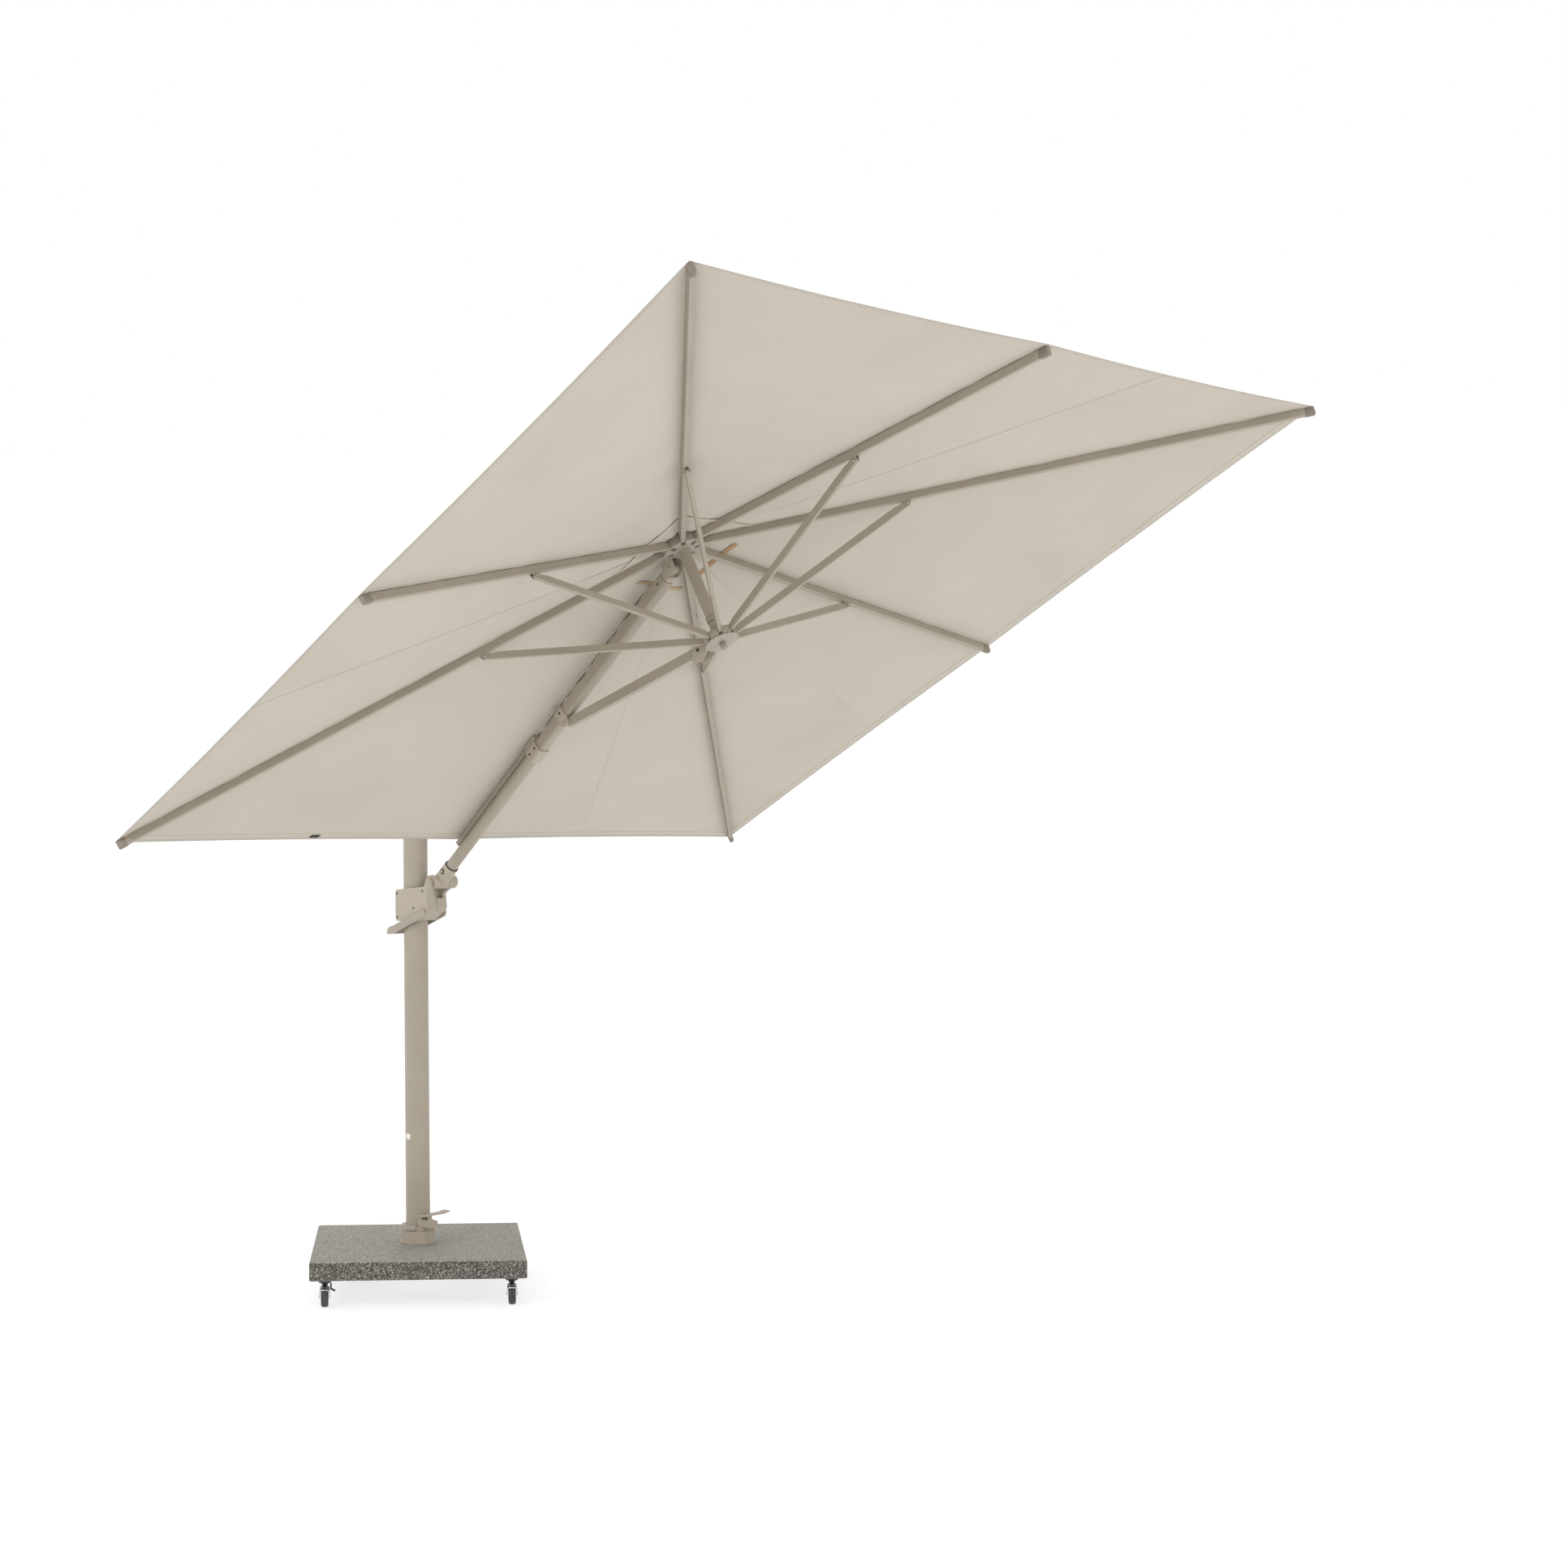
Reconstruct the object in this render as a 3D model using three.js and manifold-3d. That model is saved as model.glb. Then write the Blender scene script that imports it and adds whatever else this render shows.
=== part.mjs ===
// Cantilever parasol: a granite base on castors, a swivelling oval mast, a carriage that slides on
// it, a boom that tilts and rolls, and a square canopy on ribs that fold about a crown.
// Millimetres, +Z up. Origin: centre of the slab's underside. X and Y run along the slab's edges.

import * as THREE from 'three';
import * as BufferGeometryUtils from 'three/addons/utils/BufferGeometryUtils.js';
import Module from 'manifold-3d';

const wasm = await Module();
wasm.setup();

// ---------------------------------------------------------------- driving dimensions

const GAP = 0.3; // between pieces that touch

const SLAB = { side: 800, thickness: 70, bevel: 4, holeRadius: 31 };
const BOTTOM_PLATE = { side: 300, thickness: 6 };
const CASTOR = { offset: 345, height: 100, wheelRadius: 37.5, halfTread: 13, trail: 22, axleRadius: 4 };

const BOOM_AZIMUTH = -50.5; // degrees, where the mast has been swivelled to
const SOCKET = { width: 126, top: 120, floor: 80, boreRadius: 56.5 };
const SWIVEL = { width: 128, bottom: 120.5, top: 138 };
const MAST = { halfX: 55, halfY: 40, wall: 3, bottom: 85, top: 2330 };
const PEDAL = { hingeY: -24, hingeZ: 178, x0: 59, x1: 97, pinRadius: 3 };

// Carriage, pivot and boom. x is horizontal from the mast's axis towards the canopy.
const PIVOT = { x: 145, z: 1455, pinRadius: 8, barrelRadius: 26, halfBarrel: 30 };
const CARRIAGE = { halfWidth: 47, glideGap: 4 };
const GRIP = { pivotX: 108, pivotZ: -116, halfInner: 48, halfOuter: 54 }; // pivotZ from the boom's pivot
const COLLAR = { radius: 28, end: 92 };
const BOOM = { length: 1640, lowerRadius: 23, upperHalfY: 20, upperHalfZ: 25, wall: 2 };

// Canopy frame. x is radial, z is along the post, and the origin is the rib hinges' centre.
const CANOPY_TILT = 28.3; // degrees, the canopy's plane above the horizontal
const CANOPY = { halfSide: 1500, rise: 322, lift: 15.5, thickness: 2, scallop: 27, ventHalf: 160 };
const VENT_CAP = { halfSide: 330, top: 36, edge: -16, holeRadius: 13 };
const CROWN = { hingeRadius: 60, coreRadius: 38, radius: 72, halfHeight: 16, stubRadius: 12 };
const BOOM_HINGE = { x: -70, z: -40 };
const RIB = { halfWidth: 8, halfDepth: 13, wall: 1.5, tipInset: 10, endRadius: 13, pinRadius: 3 };
const STRUT_PIVOT = { radius: 756, drop: 24 };
const STRUT = { halfWidth: 6, endRadius: 8.5, above: 15, below: 9.5, taper: 45, pinRadius: 3 };
const POST = { radius: 20, wall: 3, bottom: -285 };
const HUB = { strutRadius: 45, strutZ: -358, coreRadius: 34, radius: 58, top: -344, bottom: -372 };
const BOOM_STRUT = { outerX: -775, drop: 38, innerX: -89, innerZ: -353, halfWidth: 13, halfDepth: 17 };
const SLEEVE = { x: -960, length: 62 };
const EDGE_RIB_HALF = 8;

const radians = THREE.MathUtils.degToRad;
const midSlope = Math.atan2(CANOPY.rise, CANOPY.halfSide - CROWN.hingeRadius);
const cornerRadius = CANOPY.halfSide * Math.SQRT2;
const cornerSlope = Math.atan2(CANOPY.rise, cornerRadius - CROWN.hingeRadius);
const boomElevation = radians(CANOPY_TILT) + midSlope;

// Ribs by the side they point to. The boom stands in for the rib at 180 degrees.
const RIBS = [
  { side: 'front', azimuth: 0 },
  { side: 'front_left', azimuth: 45 },
  { side: 'left', azimuth: 90 },
  { side: 'rear_left', azimuth: 135 },
  { side: 'rear_right', azimuth: 225 },
  { side: 'right', azimuth: 270 },
  { side: 'front_right', azimuth: 315 },
];

// ---------------------------------------------------------------- materials

function finish(color, roughness, metalness) {
  return new THREE.MeshStandardMaterial({ color, roughness, metalness });
}

const coat = finish('#a49b8c', 0.45, 0.3);
const coatPlastic = finish('#aaa194', 0.5, 0.0);
const granite = finish('#86837a', 0.7, 0.0);
const steel = finish('#8f8f8d', 0.35, 0.9);
const chrome = finish('#c9cacb', 0.15, 1.0);
const tyre = finish('#2f3033', 0.7, 0.0);
const glide = finish('#3a3a3a', 0.6, 0.0);
const fabric = finish('#cfc7b9', 0.9, 0.0);

// ---------------------------------------------------------------- solids

/** A closed geometry as a manifold solid. */
function solidOf(geometry) {
  const plain = new THREE.BufferGeometry();
  plain.setAttribute('position', geometry.getAttribute('position'));
  plain.setIndex(geometry.index);
  const merged = BufferGeometryUtils.mergeVertices(plain, 1e-4);
  const vertProperties = new Float32Array(merged.getAttribute('position').array);
  const triVerts = new Uint32Array(merged.index.array);
  return new wasm.Manifold(new wasm.Mesh({ numProp: 3, vertProperties, triVerts }));
}

/** A manifold solid as a geometry. */
function geometryOf(solid) {
  const { vertProperties, triVerts } = solid.getMesh();
  const geometry = new THREE.BufferGeometry();
  geometry.setAttribute('position', new THREE.BufferAttribute(vertProperties, 3));
  geometry.setIndex(new THREE.BufferAttribute(triVerts, 1));
  return geometry;
}

function join(...geometries) {
  return geometryOf(geometries.map(solidOf).reduce((a, b) => a.add(b)));
}

function cut(geometry, ...tools) {
  return geometryOf(tools.map(solidOf).reduce((a, b) => a.subtract(b), solidOf(geometry)));
}

/** A box between two corners. */
function block([x0, y0, z0], [x1, y1, z1]) {
  const box = new THREE.BoxGeometry(x1 - x0, y1 - y0, z1 - z0);
  return box.translate((x0 + x1) / 2, (y0 + y1) / 2, (z0 + z1) / 2);
}

/** A cylinder between two points. */
function rod(radius, from, to, segments = 12) {
  const start = new THREE.Vector3(...from);
  const along = new THREE.Vector3(...to).sub(start);
  const turn = new THREE.Quaternion().setFromUnitVectors(
    new THREE.Vector3(0, 1, 0),
    along.clone().normalize(),
  );
  const middle = start.addScaledVector(along, 0.5);
  return new THREE.CylinderGeometry(radius, radius, along.length(), segments)
    .applyQuaternion(turn)
    .translate(middle.x, middle.y, middle.z);
}

/** Extrudes a shape; its x, y and depth run along the three given axes. */
function extruded(shape, start, end, basis, curveSegments = 8) {
  const options = { depth: end - start, bevelEnabled: false, steps: 1, curveSegments };
  const turn = new THREE.Matrix4().makeBasis(...basis.map((axis) => new THREE.Vector3(...axis)));
  return new THREE.ExtrudeGeometry(shape, options).translate(0, 0, start).applyMatrix4(turn);
}

/** A shape drawn in x and y, extruded from z = start to z = end. */
const alongZ = (shape, start, end, segments) =>
  extruded(shape, start, end, [[1, 0, 0], [0, 1, 0], [0, 0, 1]], segments);

/** A shape drawn in y and z, extruded from x = start to x = end. */
const alongX = (shape, start, end, segments) =>
  extruded(shape, start, end, [[0, 1, 0], [0, 0, 1], [1, 0, 0]], segments);

/** A shape drawn in x and z, extruded from y = start to y = end. */
const alongY = (shape, start, end, segments) =>
  extruded(shape, -end, -start, [[1, 0, 0], [0, 0, 1], [0, -1, 0]], segments);

function polygon(points) {
  return new THREE.Shape(points.map(([x, y]) => new THREE.Vector2(x, y)));
}

function ellipse(halfX, halfY) {
  return new THREE.Shape().absellipse(0, 0, halfX, halfY, 0, 2 * Math.PI, false, 0);
}

function roundedRectangle(halfX, halfY, radius) {
  const shape = new THREE.Shape();
  shape.absarc(halfX - radius, halfY - radius, radius, 0, Math.PI / 2, false);
  shape.absarc(radius - halfX, halfY - radius, radius, Math.PI / 2, Math.PI, false);
  shape.absarc(radius - halfX, radius - halfY, radius, Math.PI, 1.5 * Math.PI, false);
  shape.absarc(halfX - radius, radius - halfY, radius, 1.5 * Math.PI, 2 * Math.PI, false);
  return shape;
}

/** A regular octagon by its width across flats, with flats facing the axes. */
function octagon(width) {
  const corner = width / 2 / Math.cos(Math.PI / 8);
  const points = [];
  for (let i = 0; i < 8; i += 1) {
    const angle = ((i + 0.5) * Math.PI) / 4;
    points.push([corner * Math.cos(angle), corner * Math.sin(angle)]);
  }
  return polygon(points);
}

/** A bar's side view: straight from x = 0 to x = length, with round ends. */
function stadium(length, radius) {
  const shape = new THREE.Shape();
  shape.absarc(length, 0, radius, -Math.PI / 2, Math.PI / 2, false);
  shape.absarc(0, 0, radius, Math.PI / 2, 1.5 * Math.PI, false);
  return shape;
}

/** A shape with another cut out of its middle. */
function withHole(shape, hole) {
  shape.holes.push(hole);
  return shape;
}

function add(parent, name, geometry, material) {
  const mesh = new THREE.Mesh(geometry, material);
  mesh.name = name;
  parent.add(mesh);
  return mesh;
}

function frameIn(parent, { x = 0, y = 0, z = 0 }, { turnY = 0, turnZ = 0 } = {}) {
  const group = new THREE.Group();
  group.position.set(x, y, z);
  group.rotation.set(0, turnY, turnZ);
  parent.add(group);
  return group;
}

// ---------------------------------------------------------------- base

function baseSlab() {
  const half = SLAB.side / 2 - SLAB.bevel;
  const square = polygon([[-half, -half], [half, -half], [half, half], [-half, half]]);
  const stone = new THREE.ExtrudeGeometry(square, {
    depth: SLAB.thickness - 2 * SLAB.bevel,
    bevelSize: SLAB.bevel,
    bevelThickness: SLAB.bevel,
    bevelSegments: 1,
  }).translate(0, 0, SLAB.bevel);
  return cut(stone, rod(SLAB.holeRadius, [0, 0, -1], [0, 0, SLAB.thickness + 1], 16));
}

function bottomPlate() {
  const half = BOTTOM_PLATE.side / 2;
  return block([-half, -half, -GAP - BOTTOM_PLATE.thickness], [half, half, -GAP]);
}

/** The fixed socket: an octagonal cup on a flange, with a spigot down through the slab. */
function mastSocket() {
  const flangeTop = SLAB.thickness + 7;
  const start = SLAB.thickness + GAP;
  const spigot = rod(SLAB.holeRadius - 1, [0, 0, GAP], [0, 0, flangeTop], 16);
  const flange = alongZ(octagon(SOCKET.width + 12), start, flangeTop);
  const cup = alongZ(octagon(SOCKET.width), start, SOCKET.top);
  const bore = rod(SOCKET.boreRadius + 0.5, [0, 0, SOCKET.floor], [0, 0, SOCKET.top + 1], 24);
  return cut(join(spigot, flange, cup), bore);
}

/** The castor's pieces, with the swivel's axis at x = y = 0 and the wheel trailing towards -y. */
function castorPlate() {
  return alongZ(roundedRectangle(32, 32, 6), -GAP - 4, -GAP, 3);
}

function castorFork() {
  const { halfTread, trail, axleRadius, wheelRadius, height } = CASTOR;
  const axleZ = wheelRadius - height;
  const inner = halfTread + 2;
  const outer = inner + 3;
  const cheek = polygon([[-17, -12], [17, -12], [12, -34], [-trail + 11, axleZ - 4],
    [-trail + 4, axleZ - 10], [-trail - 4, axleZ - 10], [-trail - 11, axleZ - 4], [-trail - 11, axleZ + 6]]);
  const swivelRace = rod(20, [0, 0, -13], [0, 0, -4 - 2 * GAP], 16);
  const bridge = block([-outer, -17, -19], [outer, 17, -12]);
  const axle = rod(axleRadius, [-outer - 2, -trail, axleZ], [outer + 2, -trail, axleZ], 12);
  const cheeks = [alongX(cheek, inner, outer), alongX(cheek, -outer, -inner)];
  return join(swivelRace, bridge, ...cheeks, axle);
}

function castorWheel() {
  const { halfTread, axleRadius, wheelRadius } = CASTOR;
  const half = [[axleRadius + GAP, halfTread - 2], [28, halfTread - 2], [30, halfTread],
    [wheelRadius - 2, halfTread - 2], [wheelRadius, halfTread - 7]];
  const profile = half.map(([r, y]) => [r, -y]).concat([...half].reverse());
  profile.push(profile[0]);
  const points = profile.map(([r, y]) => new THREE.Vector2(r, y));
  return new THREE.LatheGeometry(points, 20).rotateZ(Math.PI / 2);
}

function addCastors(root) {
  const corners = [
    ['front_left', -1, -1], ['front_right', 1, -1], ['rear_right', 1, 1], ['rear_left', -1, 1],
  ];
  for (const [name, sideX, sideY] of corners) {
    const place = frameIn(root, { x: sideX * CASTOR.offset, y: sideY * CASTOR.offset });
    add(place, `castor_plate_${name}`, castorPlate(), steel);
    add(place, `castor_fork_${name}`, castorFork(), chrome);
    const wheel = add(place, `castor_wheel_${name}`, castorWheel(), tyre);
    wheel.position.set(0, -CASTOR.trail, CASTOR.wheelRadius - CASTOR.height);
  }
}

// ---------------------------------------------------------------- mast and foot

const mastOutline = (clearance) => ellipse(MAST.halfX + clearance, MAST.halfY + clearance);

/** The collar clamped on the mast's foot, which turns on the socket. */
function swivelCollar() {
  const ring = withHole(octagon(SWIVEL.width), mastOutline(2 * GAP));
  const flat = SWIVEL.width / 2; // the bolt stands on the flat that faces forwards and to the side
  const bolt = rod(6, [flat - 2, -13, 129], [flat + 4, -13, 129], 6).rotateZ(-Math.PI / 4);
  return join(alongZ(ring, SWIVEL.bottom, SWIVEL.top, 12), bolt);
}

function pedalHousing() {
  const bottom = SWIVEL.top + GAP;
  const side = polygon([[-34, bottom], [14, bottom], [14, 160], [-6, 168], [-34, 168]]);
  const ear = polygon([[-34, bottom], [-8, bottom], [-16, 184], [-32, 184]]);
  const body = join(
    alongX(side, 40, PEDAL.x1 + 5),
    alongX(ear, PEDAL.x0 - 5, PEDAL.x0 - 0.5),
    alongX(ear, PEDAL.x1 + 0.5, PEDAL.x1 + 5),
  );
  const { hingeY, hingeZ, x0, x1 } = PEDAL;
  const pinHole = rod(PEDAL.pinRadius + GAP, [x0 - 9, hingeY, hingeZ], [x1 + 9, hingeY, hingeZ], 12);
  return cut(body, pinHole, alongZ(mastOutline(1), bottom - 1, 200, 12));
}

/** A flat foot bar on a pin; it locks the swivel. */
function footPedal() {
  const { hingeY, hingeZ, x0, x1, pinRadius } = PEDAL;
  const plate = polygon([[-62, 181], [50, 183], [80, 188], [80, 192], [50, 187], [-62, 185]]);
  const knuckle = rod(5.5, [x0, hingeY, hingeZ], [x1, hingeY, hingeZ], 12);
  const pin = rod(pinRadius, [x0 - 4, hingeY, hingeZ], [x1 + 4, hingeY, hingeZ], 12);
  return join(alongX(plate, x0, x1), knuckle, pin);
}

function mastTube() {
  return alongZ(withHole(mastOutline(0), mastOutline(-MAST.wall)), MAST.bottom, MAST.top, 16);
}

function mastTopCap() {
  const lid = alongZ(mastOutline(2), MAST.top + GAP, MAST.top + 10, 10);
  const plug = alongZ(mastOutline(-MAST.wall - 1), MAST.top - 30, MAST.top + 1, 8);
  return join(lid, plug);
}

// ---------------------------------------------------------------- carriage
// Here x is measured from the mast's axis and z from the pivot.

/** The carriage's side view: a body round the mast, a lobe round the pivot and a sloping lower front. */
function carriageOutline() {
  const shape = new THREE.Shape();
  shape.moveTo(-58, -152);
  shape.lineTo(64, -148);
  shape.lineTo(122, -112);
  shape.lineTo(130, -95);
  shape.lineTo(124, -45);
  shape.absarc(PIVOT.x, 0, 27, -1.2, 2.1, false);
  shape.lineTo(104, -18);
  shape.lineTo(-48, -30);
  shape.absarc(-54, -42, 12, Math.PI / 2, Math.PI, false);
  shape.lineTo(-66, -144);
  return shape;
}

function carriageShell(side) {
  const { halfWidth, glideGap } = CARRIAGE;
  const [inner, outer] = side > 0 ? [GAP / 2, halfWidth] : [-halfWidth, -GAP / 2];
  const slotHalf = PIVOT.halfBarrel + 0.5;
  const [tunnelStart, tunnelEnd] = [-160, 40];
  const tools = [
    alongZ(mastOutline(glideGap), tunnelStart, tunnelEnd, 12),
    block([106, -slotHalf, -62], [240, slotHalf, 60]),
    rod(PIVOT.pinRadius + GAP, [PIVOT.x, -60, 0], [PIVOT.x, 60, 0]),
  ];
  return cut(alongY(carriageOutline(), inner, outer, 6), ...tools);
}

/** A plastic ring that slides on the mast inside the carriage. */
function glideRing(bottom, top) {
  return alongZ(withHole(mastOutline(CARRIAGE.glideGap - 3 * GAP), mastOutline(0.7)), bottom, top, 12);
}

/** The squeeze grip: two side arms past the mast, joined by a bar behind it. */
function carriageGrip() {
  const { pivotX, pivotZ, halfInner, halfOuter } = GRIP;
  const arm = polygon([[pivotX + 12, pivotZ + 4], [pivotX - 2, pivotZ + 14], [-66, -166], [-108, -182],
    [-110, -204], [-70, -200], [pivotX + 6, pivotZ - 14]]);
  const bar = polygon([[-90, -172], [-108, -182], [-112, -192], [-110, -204], [-90, -202]]);
  return join(
    alongY(arm, halfInner, halfOuter),
    alongY(arm, -halfOuter, -halfInner),
    alongY(bar, -halfOuter, halfOuter),
  );
}

/** The tilt lock: a flat lever on the pivot's near end, hanging down and forwards. */
function tiltLever() {
  const hub = new THREE.Shape().absarc(0, 0, 17, 0, 2 * Math.PI, false);
  const blade = polygon([[-14, 2], [14, 8], [38, -56], [52, -92], [48, -106], [20, -104], [12, -90]]);
  const [outer, inner] = [-60, -48];
  const body = join(alongY(hub, outer, inner, 12), alongY(blade, outer, outer + 8));
  return cut(body, rod(PIVOT.pinRadius + GAP, [0, -56, 0], [0, 0, 0]));
}

/** The pivot's pin with the large round knob on its far end. */
function pivotPin() {
  const outline = [[0, -55.5], [PIVOT.pinRadius, -55.5], [PIVOT.pinRadius, 47.5], [26, 47.5], [26, 66],
    [23, 72], [16, 75], [0, 76]];
  return new THREE.LatheGeometry(outline.map(([r, y]) => new THREE.Vector2(r, y)), 20);
}

// ---------------------------------------------------------------- boom (x along it from the pivot)

function boomKnuckle() {
  const { barrelRadius, halfBarrel, pinRadius } = PIVOT;
  const barrel = rod(barrelRadius, [0, -halfBarrel, 0], [0, halfBarrel, 0], 20);
  const collar = rod(COLLAR.radius, [8, 0, 0], [COLLAR.end, 0, 0], 20);
  const button = buttonSeat();
  return cut(
    join(barrel, collar),
    rod(pinRadius + GAP, [0, -halfBarrel - 1, 0], [0, halfBarrel + 1, 0]),
    rod(BOOM.lowerRadius + 2 * GAP, [38, 0, 0], [COLLAR.end + 1, 0, 0], 20),
    rod(button.radius + GAP, [button.x, -40, 0], [button.x, -20, 0]),
  );
}

function buttonSeat() {
  return { x: 62, radius: 7, inner: -26.6, outer: -32 };
}

function rollButton() {
  const { x, radius, inner, outer } = buttonSeat();
  return rod(radius, [x, outer, 0], [x, inner, 0]);
}

const boomAt = (canopyX) => BOOM.length + (canopyX - BOOM_HINGE.x) / Math.cos(midSlope);
const sleeveMiddle = boomAt(SLEEVE.x);
const roundTube = (radius, wall) => withHole(ellipse(radius, radius), ellipse(radius - wall, radius - wall));

function boomLowerTube() {
  return alongX(roundTube(BOOM.lowerRadius, BOOM.wall), 38 + GAP, sleeveMiddle - GAP, 10);
}

function boomUpperTube() {
  const { upperHalfY, upperHalfZ, wall } = BOOM;
  const section = withHole(
    roundedRectangle(upperHalfY, upperHalfZ, 12),
    roundedRectangle(upperHalfY - wall, upperHalfZ - wall, 10),
  );
  return alongX(section, sleeveMiddle + GAP, BOOM.length - 55, 2);
}

// The rib line's height above the boom's axis: both slope alike.
const ribAboveBoom = -BOOM_HINGE.z * Math.cos(midSlope)
  - (-BOOM_HINGE.x - CROWN.hingeRadius) * Math.sin(midSlope);

/** The cast sleeve where the boom's two tubes meet, with a lug that holds the edge rib. */
function boomSleeve() {
  const half = SLEEVE.length / 2;
  const [start, end] = [sleeveMiddle - half, sleeveMiddle + half];
  const { lowerRadius, upperHalfY, upperHalfZ } = BOOM;
  const pocket = EDGE_RIB_HALF + GAP;
  const ribTop = ribAboveBoom + EDGE_RIB_HALF;
  return cut(
    join(
      alongX(roundedRectangle(upperHalfY + 5, upperHalfZ + 4, 13), start, end, 2),
      block([start, -12, 20], [end, 12, ribTop + 3]),
    ),
    rod(lowerRadius + 2 * GAP, [start - 1, 0, 0], [sleeveMiddle + 0.1, 0, 0], 20),
    alongX(roundedRectangle(upperHalfY + GAP, upperHalfZ + GAP, 12), sleeveMiddle, end + 1, 2),
    block([start - 1, -pocket, ribTop - 2 * EDGE_RIB_HALF - GAP], [end - 12, pocket, ribTop + GAP]),
  );
}

/** The short rib that carries the canopy's near edge, above the boom's lower half. */
function edgeRib() {
  const tip = boomAt(-CANOPY.halfSide + RIB.tipInset);
  const start = sleeveMiddle + SLEEVE.length / 2 - 13;
  const low = ribAboveBoom - EDGE_RIB_HALF;
  const high = ribAboveBoom + EDGE_RIB_HALF;
  const inner = EDGE_RIB_HALF - RIB.wall;
  return cut(
    block([tip, -EDGE_RIB_HALF, low], [start, EDGE_RIB_HALF, high]),
    block([tip - 1, -inner, low + RIB.wall], [start - 10, inner, high - RIB.wall]),
  );
}

const strutBracketX = boomAt(BOOM_STRUT.outerX);

/** The bracket round the boom, with two ears and a bolt for the boom strut. */
function strutBracket() {
  const { upperHalfY, upperHalfZ } = BOOM;
  const { halfWidth, drop } = BOOM_STRUT;
  const band = withHole(
    roundedRectangle(upperHalfY + 4, upperHalfZ + 4, 14),
    roundedRectangle(upperHalfY + GAP, upperHalfZ + GAP, 12),
  );
  const ear = polygon([[-20, -18], [22, -18], [20, -drop - 6], [12, -drop - 13], [-4, -drop - 13],
    [-14, -drop - 6]]);
  const earInner = halfWidth + 0.5;
  const earOuter = upperHalfY + 2;
  const ears = [alongY(ear, earInner, earOuter), alongY(ear, -earOuter, -earInner)];
  const tube = alongX(roundedRectangle(upperHalfY + GAP, upperHalfZ + GAP, 12), -60, 60, 2);
  const gapForStrut = block([-30, -earInner, -60], [40, earInner, -upperHalfZ + 2]);
  const bolt = rod(6, [0, -earOuter - 3, -drop], [0, earOuter + 3, -drop]);
  const bracket = join(cut(join(alongX(band, -20, 24, 2), ...ears), tube, gapForStrut), bolt);
  return bracket.translate(strutBracketX, 0, 0);
}

/** The boom's crown end: a plug in the tube and a flat tongue between the crown's ears. */
function boomHead() {
  const { length, upperHalfY, upperHalfZ, wall } = BOOM;
  const [shoulder, tubeEnd] = [length - 47, length - 55];
  const inner = wall + GAP;
  const tongue = alongY(stadium(48, 13), -12, 12, 6).translate(length - 48, 0, 0);
  return cut(
    join(
      alongX(roundedRectangle(upperHalfY - inner, upperHalfZ - inner, 9), tubeEnd - 60, shoulder - 1, 2),
      alongX(roundedRectangle(upperHalfY, upperHalfZ, 12), tubeEnd + GAP, shoulder, 2),
      tongue,
    ),
    rod(6 + GAP, [length, -13, 0], [length, 13, 0]),
  );
}

// ---------------------------------------------------------------- crown and canopy frame

/** Cuts a slot out to the rim for each rib or strut of a hub. */
function hubSlots(halfWidth, start, end, bottom, top) {
  return RIBS.map(({ azimuth }) =>
    block([start, -halfWidth, bottom], [end, halfWidth, top]).rotateZ(radians(azimuth)));
}

/** The octagonal wire that the ribs hinge on, with a straight side across each rib. */
function wireRing(radius) {
  const halfStep = Math.PI / 8;
  return new THREE.TorusGeometry(CROWN.hingeRadius / Math.cos(halfStep), radius, 6, 8).rotateZ(halfStep);
}

/** The crown: a disc with a slot for each rib, ears for the boom, and a stub for the finial. */
function crownHub() {
  const { coreRadius, radius, halfHeight, stubRadius } = CROWN;
  const disc = rod(radius, [0, 0, -halfHeight], [0, 0, halfHeight], 24);
  const stub = rod(stubRadius, [0, 0, halfHeight - 1], [0, 0, VENT_CAP.top + 8], 16);
  const ear = polygon([[-58, -10], [-56, -46], [-64, -54], [-76, -54], [-84, -46], [-84, -10]]);
  const pin = rod(6, [BOOM_HINGE.x, -18, BOOM_HINGE.z], [BOOM_HINGE.x, 18, BOOM_HINGE.z]);
  const ears = [alongY(ear, 12.6, 19), alongY(ear, -19, -12.6)];
  const boomSlot = block([-100, -12.6, -30], [-coreRadius - 6, 12.6, halfHeight + 1]);
  const wire = wireRing(RIB.pinRadius);
  const slots = hubSlots(RIB.halfWidth + 0.4, coreRadius, radius + 2, -halfHeight - 1, halfHeight + 1);
  return cut(join(disc, stub, ...ears, pin), boomSlot, wire, ...slots);
}

function crownPost() {
  const top = -CROWN.halfHeight - GAP;
  return alongZ(roundTube(POST.radius, POST.wall), POST.bottom, top, 10);
}

/** The round cap that clamps the vent cap on the crown's stub. */
function finialCap() {
  const start = VENT_CAP.top + CANOPY.thickness + GAP;
  const bore = CROWN.stubRadius + GAP;
  const outline = [[bore, start], [52, start - 2], [52, start + 4], [40, start + 12], [20, start + 18],
    [0, start + 19], [0, start + 8], [bore, start + 8], [bore, start]];
  return new THREE.LatheGeometry(outline.map(([r, y]) => new THREE.Vector2(r, y)), 20)
    .rotateX(Math.PI / 2);
}

const isCorner = (azimuth) => azimuth % 90 !== 0;
const slopeOf = (azimuth) => (isCorner(azimuth) ? cornerSlope : midSlope);
const tipRadiusOf = (azimuth) => (isCorner(azimuth) ? cornerRadius : CANOPY.halfSide);

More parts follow.
